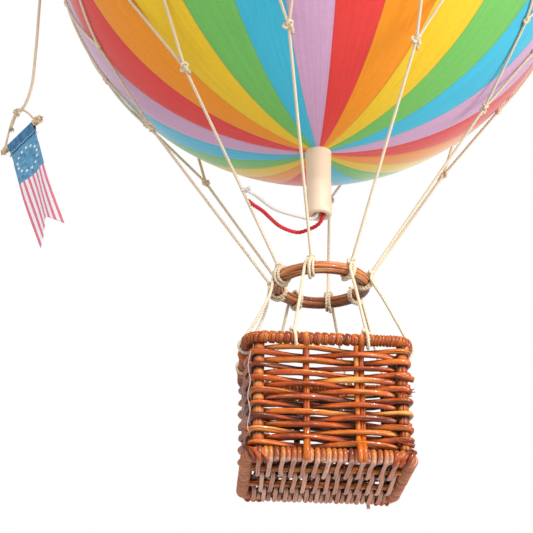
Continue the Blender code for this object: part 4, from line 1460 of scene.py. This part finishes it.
def loopPath(halfX, halfY, corner, height, spacing):     # starts in the front's middle, going right
    points = [Vector((0, -halfY, height))]   # then each corner's curve
    for x, y, start in ((1, -1, -90), (1, 1, 0), (-1, 1, 90), (-1, -1, 180)):
        middle = Vector((x * (halfX - corner), y * (halfY - corner), height))
        for step in range(7):
            turn = math.radians(start + 15 * step)
            points.append(middle + Vector((math.cos(turn), math.sin(turn), 0)) * corner)
    path = []
    for a, b in zip(points, points[1:] + points[:1]):
        steps = max(1, round((b - a).length / spacing))
        path += [a.lerp(b, step / steps) for step in range(steps)]
    return hung(path)


def stretch(path, start, end):               # the piece of a closed path between two distances
    whole = pathLength(path + path[:1])
    points, walked = [], 0.0
    lap = path + path + path + path[:1]
    for a, b in zip(lap, lap[1:]):
        if start + whole <= walked <= end + whole:
            points.append(a)
        walked += (b - a).length
    return points


def makeWrapTree():                          # flat turns of cane wound along a path, each its own shade
    tree = Grower("wraps", {"Material": "Material", "Pitch": "Float", "Hold": "Float",
                            "Width": "Float", "Thick": "Float", "Slant": "Float", "Loose": "Float",
                            "Shade": "Float", "Seed": "Int"})
    source = tree.source
    path = tree.add("GeometryNodeMeshToCurve", {}, {0: source["Geometry"]})
    spots = tree.add("GeometryNodeCurveToPoints", {"mode": "LENGTH"}, {
        "Curve": path, "Length": source["Pitch"]})
    ringCurve = tree.add("GeometryNodeCurvePrimitiveCircle", {}, {
        "Resolution": 20, "Radius": source["Hold"]})["Curve"]
    run = tree.add("GeometryNodeSplineParameter")["Length"]
    ringCurve, along = tree.capture(ringCurve, run)
    strip = tree.add("GeometryNodeCurvePrimitiveCircle", {}, {
        "Resolution": 10, "Radius": 0.5})["Curve"]
    factor = tree.add("GeometryNodeSplineParameter")["Factor"]
    strip, across = tree.capture(strip, factor)
    place = tree.add("GeometryNodeInputPosition")
    axes = tree.add("ShaderNodeSeparateXYZ", {}, {0: place})
    x, y = (axes["X"] * 2.0).size(), (axes["Y"] * 2.0).size()
    square = (x.power(4.0) + y.power(4.0)).power(-0.25)          # makes the strip's section squarer
    strip = tree.add("GeometryNodeSetPosition", {}, {0: strip, "Position": tree.vector(
        "MULTIPLY", place, tree.join(source["Thick"] * square, source["Width"] * square, 1.0))})
    turn = tree.add("GeometryNodeCurveToMesh", {}, {"Curve": ringCurve, "Profile Curve": strip})
    turn = tree.store(turn, "UVMap", tree.join(along, across), "CORNER", "FLOAT2")
    seed = source["Seed"]
    tilt = tree.add("FunctionNodeAxisAngleToRotation", {}, {
        "Axis": (1.0, 0.0, 0.0),
        "Angle": tree.random(-1.0, 1.0, seed) * source["Loose"] - source["Slant"]})
    skew = tree.add("FunctionNodeAxisAngleToRotation", {}, {
        "Axis": (0.0, 1.0, 0.0), "Angle": tree.random(-1.0, 1.0, seed + 3.0) * source["Loose"]})
    facing = tree.add("FunctionNodeRotateRotation", {"rotation_space": "LOCAL"}, {
        0: spots["Rotation"], 1: tilt})
    facing = tree.add("FunctionNodeRotateRotation", {"rotation_space": "LOCAL"}, {0: facing, 1: skew})
    size = tree.random(0.97, 1.04, seed + 1.0)
    turns = tree.add("GeometryNodeInstanceOnPoints", {}, {
        "Points": spots["Points"], "Instance": turn, "Rotation": facing, "Scale": size})
    shade = source["Shade"] + tree.random(-0.17, 0.17, seed + 2.0)
    turns = tree.store(turns, "shade", shade, "INSTANCE")
    tree.finish(turns)
    return tree


wrapTree = makeWrapTree()


def wraps(name, points, material, closed=False, **inputs):
    mesh = strandMesh(name, [Strand(points, 1.0, 0.5, closed)])
    return grow(name, mesh, wrapTree, material=material, **inputs)


def joinPieces(name, pieces, material):
    work = bmesh.new()
    for piece in pieces:
        work.from_mesh(piece.data)
    for face in work.faces:
        face.material_index = 0
    mesh = bpy.data.meshes.new(name)
    work.to_mesh(mesh)
    work.free()
    mesh.materials.append(material)
    for piece in pieces:
        bpy.data.objects.remove(piece, do_unlink=True)
    return keep(name, mesh)


binding = {                                  # the turns of cane round the rim
    "core": 0.0024,
    "wide": {"pitch": 0.00372, "hold": 0.00240, "width": 0.00355, "thick": 0.0016, "slant": 0.15,
             "loose": 0.07},
    "fine": {"pitch": 0.00165, "hold": 0.00245, "width": 0.00170, "thick": 0.0014, "slant": 0.38,
             "loose": 0.05},
    "stretches": (                           # from, to: distances from the front's middle going right
        ("wide", -0.0325, 0.0175), ("fine", 0.0190, 0.0500), ("wide", 0.0525, 0.0960),
        ("fine", 0.0985, 0.1200), ("wide", 0.1225, 0.1775), ("fine", 0.1800, 0.1995),
        ("wide", 0.2020, 0.2400), ("fine", 0.2425, 0.2650)),
}


def makeRim():
    cane = basket["rimCane"]
    path = loopPath(basket["halfX"] - cane, basket["halfY"] - cane, basket["corner"] - cane * 0.5,
                    basket["rimZ"], 0.0006)
    parts = [sweep("rimCore", [Strand(path[::4], binding["core"], 0.1, True)], wrapPaint, 0.003,
                   sides=10)]
    for index, (kind, start, end) in enumerate(binding["stretches"]):
        parts.append(wraps(f"rimWraps{index}", stretch(path, start, end), wrapPaint, shade=0.55,
                           seed=2 + 7 * index, **binding[kind]))
    dress(joinPieces("basketRim", parts, wrapPaint), "balloon", "cane_wrap", "basket_rim")


foot = {
    "core": 0.0017,
    "bend": 0.0058,                          # radius of the foot's corners
    "side": {"pitch": 0.00118, "hold": 0.00275, "width": 0.00132, "thick": 0.00085, "slant": 0.06,
             "loose": 0.035, "shade": 0.45},
    "corner": {"pitch": 0.0024, "hold": 0.0026, "width": 0.0026, "thick": 0.0013, "slant": 0.0,
               "loose": 0.10, "shade": 0.5},
    "tie": 0.00115,
    "tieGap": 0.0030,                        # between the three rods that are drawn over each corner
    "tieShades": (0.12, 0.4, 0.25),
    # their way over the foot: along x, along y and up, and how much of the gap is taken off x and y
    "tieRoute": ((-0.0015, -0.0090, 0.0085, 0.0, 1.0), (0.0012, -0.0050, 0.0048, 0.1, 1.0),
                 (0.0010, 0.0002, 0.0030, 0.5, 0.5), (-0.0010, 0.0031, 0.0006, 0.8, 0.1),
                 (-0.0026, 0.0026, -0.0024, 1.0, 0.0), (-0.0034, -0.0008, -0.0036, 1.0, 0.0)),
}
footX, footY = (basket[half] - basket["footCane"] for half in ("halfX", "halfY"))
footZ = basket["footZ"]


def makeFoot(draw):
    path = loopPath(footX, footY, basket["corner"] - basket["footCane"], footZ, 0.0015)
    parts = [sweep("footCore", [Strand(path, foot["core"], 0.2, True)], mattePaint, 0.003, sides=10)]
    for index, x in enumerate((-footX, footX)):          # the two sides are bound from end to end
        start, end = -footY + 0.0045, footY - 0.0045
        line = [Vector((x, start + (end - start) * step / 24, footZ)) for step in range(25)]
        parts.append(wraps(f"footWraps{index}", hung(line), mattePaint, seed=5 + index, **foot["side"]))
    strands = []
    for index, (x, y) in enumerate(((-1, -1), (1, -1), (1, 1), (-1, 1))):
        middle = Vector((x * (footX - foot["bend"]), y * (footY - foot["bend"]), footZ))
        start = math.degrees(math.atan2(y, x))
        turns = [math.radians(start - 54 + 4.5 * step) for step in range(25)]
        bow = [middle + (xWay * math.cos(turn) + yWay * math.sin(turn)) * foot["bend"]
               for turn in turns]
        parts.append(wraps(f"footCorner{index}", hung(bow), mattePaint, seed=9 + index,
                           **foot["corner"]))
        for step, shade in enumerate(foot["tieShades"]):
            gap = step * foot["tieGap"]
            route = [Vector((x * (footX + a - gap * offX), y * (footY + b - gap * offY), footZ + c))
                     for a, b, c, offX, offY in foot["tieRoute"]]
            strands.append(Strand(hung(smoothPath(route, 0.0012)), foot["tie"],
                                  shade + draw.uniform(-0.1, 0.1)))
    ties = sweep("footTies", strands, plainPaint, 0.0012, sides=9, lobes=2, depth=0.06, uneven=0.12)
    dress(ties, "balloon", "cane")
    dress(joinPieces("basketFoot", parts, mattePaint), "balloon", "cane_matte", "basket_foot")


floor = {
    "first": -0.0348,
    "rods": 26,
    "pitch": 0.00281,
    "rod": 0.00124,
    "edge": 1.18,                            # how much thicker a rod is where it bends over the foot
    "bend": (150, 110, 70, 30, -10, -50, -90),           # degrees round the foot that it passes
    "cross": (-0.0148, 0.0137),              # the two rods that lie across
    "crossRod": 0.0015,
    "tips": {6: 0.0018, 13: 0.0018, 22: 0.0042},         # rods whose ends hang past the far edge
    "lay": (                                 # how even and odd rods go under and over the cross rods
        ((-0.0235, -0.0027), (-0.0148, -0.0033), (-0.0085, -0.0024), (-0.0030, 0.0004),
         (0.0060, 0.0014), (0.0137, 0.0022), (0.0190, 0.0008), (0.0255, -0.0020)),
        ((-0.0275, 0.0004), (-0.0205, 0.0016), (-0.0148, 0.0022), (-0.0095, 0.0002),
         (-0.0040, -0.0020), (0.0050, -0.0028), (0.0137, -0.0033), (0.0205, -0.0024),
         (0.0265, 0.0006), (0.0310, 0.0004))),
}


def makeFloor(draw):
    hold = foot["core"] + floor["rod"] * 0.92
    strands = []
    for rod in range(floor["rods"]):
        x = floor["first"] + rod * floor["pitch"] + draw.uniform(-0.00035, 0.00035)
        near, far = [[Vector((x, end * (footY + math.cos(turn) * hold), footZ + math.sin(turn) * hold))
                      for turn in map(math.radians, floor["bend"])] for end in (-1, 1)]
        if rod % 2:                          # these go up at once, over the first cross rod
            near[-1] = Vector((x, -(footY - 0.0022), footZ - 0.0016))
            far[-1] = Vector((x, footY - 0.0022, footZ - 0.0016))
        middle = [Vector((x + draw.uniform(-0.0003, 0.0003), y + draw.uniform(-0.0006, 0.0006),
                          footZ + rise)) for y, rise in floor["lay"][rod % 2]]
        path = smoothPath(near + middle + far[::-1], 0.0014)
        radius = floor["rod"] * draw.uniform(0.94, 1.05)
        radii = [radius * (floor["edge"] if abs(point.y) > footY - 0.001 else 1.0) for point in path]
        strands.append(Strand(hung(path), radii, draw.uniform(0.2, 0.9)))
        if rod in floor["tips"]:
            start, long = far[4], floor["tips"][rod]
            tip = [start + Vector(step) for step in (
                (0.0003, -0.002, 0.0010), (0.0, -0.0004, -0.0006),
                (0.0004, 0.0002, -0.0008 - long * 0.5), (0.0006, 0.0004, -0.0008 - long))]
            strands.append(Strand(hung(smoothPath(tip, 0.001)), radius * 0.8, draw.uniform(0.3, 0.8)))
    cross = []
    for y in floor["cross"]:
        line = [Vector((x * (footX - 0.001) / 8, y + draw.uniform(-0.0003, 0.0003), footZ - 0.0006))
                for x in range(-8, 9)]
        cross.append(Strand(hung(line), floor["crossRod"], draw.uniform(0.7, 0.95)))
    crossRods = sweep("basketCrossRods", cross, plainPaint, 0.0016, sides=9, lobes=2, depth=0.05,
                      uneven=0.12, seed=3.0)
    dress(crossRods, "balloon", "cane")
    rods = sweep("basketFloor", strands, floorPaint, 0.0016, sides=9, lobes=3, depth=0.03,
                 twist=30.0, uneven=0.10, seed=4.0)
    dress(rods, "balloon", "cane_matte", "basket_floor")


def makeFloorPaint():                        # glossy and deeper orange where a rod goes over the foot, matte and paler below
    paint = Paint("floor_cane", roughness=0.5, coat_roughness=0.15)
    uv = paint.uv()
    shade = paint.attribute("shade")
    axes = paint.add("ShaderNodeSeparateXYZ", {}, {0: paint.place})
    turn = math.radians(basket["turn"])
    across = (axes["Y"] * math.cos(turn) - axes["X"] * math.sin(turn)).size()
    edge = ((across - (basket["halfY"] - 0.0052)) * 700.0).limit()
    rise = axes["Z"] - basket["footZ"]
    upper = ((rise + 0.0030) * 420.0).limit() * edge
    # painted shade on the floor rods' higher parts, inside the foot
    inner = ((rise + 0.0017) * 800.0).limit() * (1.0 - edge)
    streak = paint.noise(paint.join(uv["X"] * 90.0, uv["Y"] * 9.0, shade * 30.0), 1.0, 4.0, 0.65)
    patch = paint.noise(paint.join(uv["X"] * 30.0, shade * 50.0, 3.0), 1.0, 3.0)
    tone = shade * 0.6 + patch * 0.55 - 0.06
    lift = paint.attribute("lift")
    dull = paint.ramp(tone, [(0.12, screen(150, 88, 66)), (0.45, screen(198, 132, 104)),
                             (0.85, screen(232, 180, 152))])
    bright = paint.ramp(tone, [(0.12, screen(92, 34, 14)), (0.45, screen(168, 80, 26)),
                               (0.85, screen(228, 150, 66))])
    base = paint.mix(inner, paint.mix(upper, dull, bright), screen(48, 16, 8))
    worn = paint.mix(((streak - 0.46) * 2.6).limit(), base, screen(84, 36, 22))
    # painted highlight along the edges of the floor's rods
    edgeHighlight = paint.mix((1.0 - (lift + 0.66).size() * 5.0).limit() * (1.0 - upper) * 0.40, worn,
                       screen(244, 212, 196))
    # painted shade in the crevices between the floor's rods
    creviceShade = ((lift + 0.42) * 3.0).limit() * (1.0 - edge)
    paint.set("Base Color", paint.mix(creviceShade, edgeHighlight, screen(40, 14, 8)))
    paint.set("Roughness", 0.60 - upper * 0.30)
    paint.set("Coat Weight", upper * 0.4)
    paint.bump(streak, 0.00025, 0.7)
    return paint.material


floorPaint = makeFloorPaint()
makeWeavers()
makePosts()
makeThreads()
makeStakes()
makeRim()
footDraw = random.Random(17)
makeFoot(footDraw)
makeFloor(footDraw)
print("basket done")


# Crown: a disc where the net gathers, and the brass eye it hangs from

crown = {
    "radius": 0.0170,
    "thick": 0.0016,
    "boss": (0.0050, 0.0015),                # radius and height
    "stem": 0.0037,
    "eye": (0.005, 0.0009),                  # radius of the loop and of its wire
    "shank": 0.0012,
}


def makeCrownPaint():
    paint = Paint("crown_cloth", roughness=0.7, sheen_weight=0.2)
    weaveBump = paint.noise(paint.place, 1200.0, 2.0)
    mottle = paint.noise(paint.place, 120.0, 2.0)
    paint.set("Base Color", paint.mix(mottle, screen(250, 244, 232), screen(236, 226, 208)))
    paint.bump(weaveBump + mottle, 0.00012, 0.5)
    return paint.material


def makeBrassPaint():
    paint = Paint("brass", metallic=1.0, roughness=0.24)
    worn = paint.noise(paint.place, 500.0, 3.0)
    paint.set("Base Color", paint.mix(worn, screen(214, 170, 88), screen(176, 130, 62)))
    paint.set("Roughness", 0.18 + worn * 0.2)
    return paint.material


crownPaint = makeCrownPaint()
brassPaint = makeBrassPaint()


def makeCrown():
    low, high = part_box("crown_cap")
    under = ball["radius"] + 0.0003
    over = under + crown["thick"]
    bossRadius, bossHeight = crown["boss"]
    top = over + bossHeight
    profile = [(0.0001, top), (bossRadius - 0.0004, top), (bossRadius, top - 0.0004)]
    reach = crown["radius"] / under
    for step in range(9):
        turn = reach * (step + 1) / 9
        if math.sin(turn) * over > bossRadius + 0.0004:
            profile.append((over * math.sin(turn), over * math.cos(turn)))
    edge = profile[-1]
    profile.append((edge[0] + 0.0004, edge[1] - 0.0006))
    profile.append((edge[0] + 0.0001, edge[1] - 0.0013))
    for step in range(6):
        turn = reach * (1 - step / 6)
        profile.append((under * math.sin(turn), under * math.cos(turn)))
    stemRadius, stem = crown["stem"], low.z - ball["z"]
    profile += [(stemRadius, profile[-1][1] - 0.0004), (stemRadius, stem + 0.0004),
                (stemRadius - 0.0004, stem), (0.0001, stem)]
    cap = lathe("crownCap", profile, 72, ball["z"], crownPaint)
    dress(cap, "balloon", "envelope_cloth", "crown_cap")
    eyeRadius, wire = crown["eye"]
    low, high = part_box("hang_eye")
    middle = zWay * (high.z - eyeRadius - wire)
    loop = circle(middle, zWay, xWay, eyeRadius, 40)
    shank = [middle - zWay * eyeRadius, zWay * ((middle.z - eyeRadius + low.z) / 2), zWay * low.z]
    eye = sweep("hangEye", [Strand(loop, wire, 0.5, True), Strand(shank, crown["shank"], 0.5)],
                brassPaint, 0.0005, sides=14)
    dress(eye, "balloon", "brass", "hang_eye")


makeCrown()
print("crown done")


# Stage: a pale floor just under the camera, a white surround, and soft light from both sides

stage = {
    "floor": -0.735,
    "half": 4.0,                             # half the floor's width
    "seen": 1.0,                             # the surround as the camera sees it
    "felt": 0.86,                            # as it lights the balloon
    "shine": 0.30,                           # and as glossy cane mirrors it, dim as in a studio
}


def makeStage():
    mesh = bpy.data.meshes.new("floor")
    half, height = stage["half"], stage["floor"]
    mesh.from_pydata([(x * half, y * half, height) for x, y in ((-1, -1), (1, -1), (1, 1), (-1, 1))],
                     [], [(0, 1, 2, 3)])
    paint = Paint("floor_paint", roughness=0.9)
    paint.set("Base Color", (0.8, 0.8, 0.8, 1.0))
    mesh.materials.append(paint.material)
    keep("stageFloor", mesh)
    world = bpy.data.worlds.new("surround")
    world.use_nodes = True
    tree = Tree(world.node_tree)
    tree.tree.nodes.clear()
    seen, felt, shine = (tree.add("ShaderNodeBackground", {}, {
        "Color": (1.0, 1.0, 1.0, 1.0), "Strength": stage[key]}) for key in ("seen", "felt", "shine"))
    ray = tree.add("ShaderNodeLightPath")
    away = tree.add("ShaderNodeMixShader", {}, {0: ray["Is Glossy Ray"], 1: felt, 2: shine})
    tree.add("ShaderNodeOutputWorld", {}, {
        "Surface": tree.add("ShaderNodeMixShader", {}, {0: ray["Is Camera Ray"], 1: away, 2: seen})})
    bpy.context.scene.world = world


lamps = (                                    # name, place, aimed at, width, power, colour
    ("right", (1.25, -0.75, -0.40), (0.0, 0.0, -0.25), 0.6, 12.5, (1.0, 0.985, 0.96)),
    ("left", (-0.90, -1.30, -0.10), (0.0, 0.0, -0.35), 0.4, 2.5, (1.0, 1.0, 1.0)),
    ("high", (0.45, -1.50, 0.75), (0.0, 0.0, -0.45), 0.5, 4.0, (1.0, 0.99, 0.97)),
)
glossLamp = {                                # picks out the gloss of the cane
    "place": (0.55, -1.00, 0.25),
    "target": (0.0, 0.0, -0.500),
    "angle": 11,
    "blend": 0.6,
    "radius": 0.045,
    "power": 42.0,
}


def hangLamp(data, place, target):
    lamp = keep(data.name, data)
    lamp.location = place
    lamp.rotation_euler = (Vector(target) - Vector(place)).to_track_quat("-Z", "Y").to_euler()


def makeLamps():
    for name, place, target, width, power, colour in lamps:
        data = bpy.data.lights.new("lamp_" + name, "AREA")
        data.shape = "SQUARE"
        data.size = width
        data.energy = power
        data.color = colour
        hangLamp(data, place, target)
    data = bpy.data.lights.new("lamp_basket", "SPOT")
    data.spot_size = math.radians(glossLamp["angle"])
    data.spot_blend = glossLamp["blend"]
    data.shadow_soft_size = glossLamp["radius"]
    data.energy = glossLamp["power"]
    hangLamp(data, glossLamp["place"], glossLamp["target"])


makeStage()
makeLamps()
bpy.context.scene.view_settings.view_transform = "Standard"
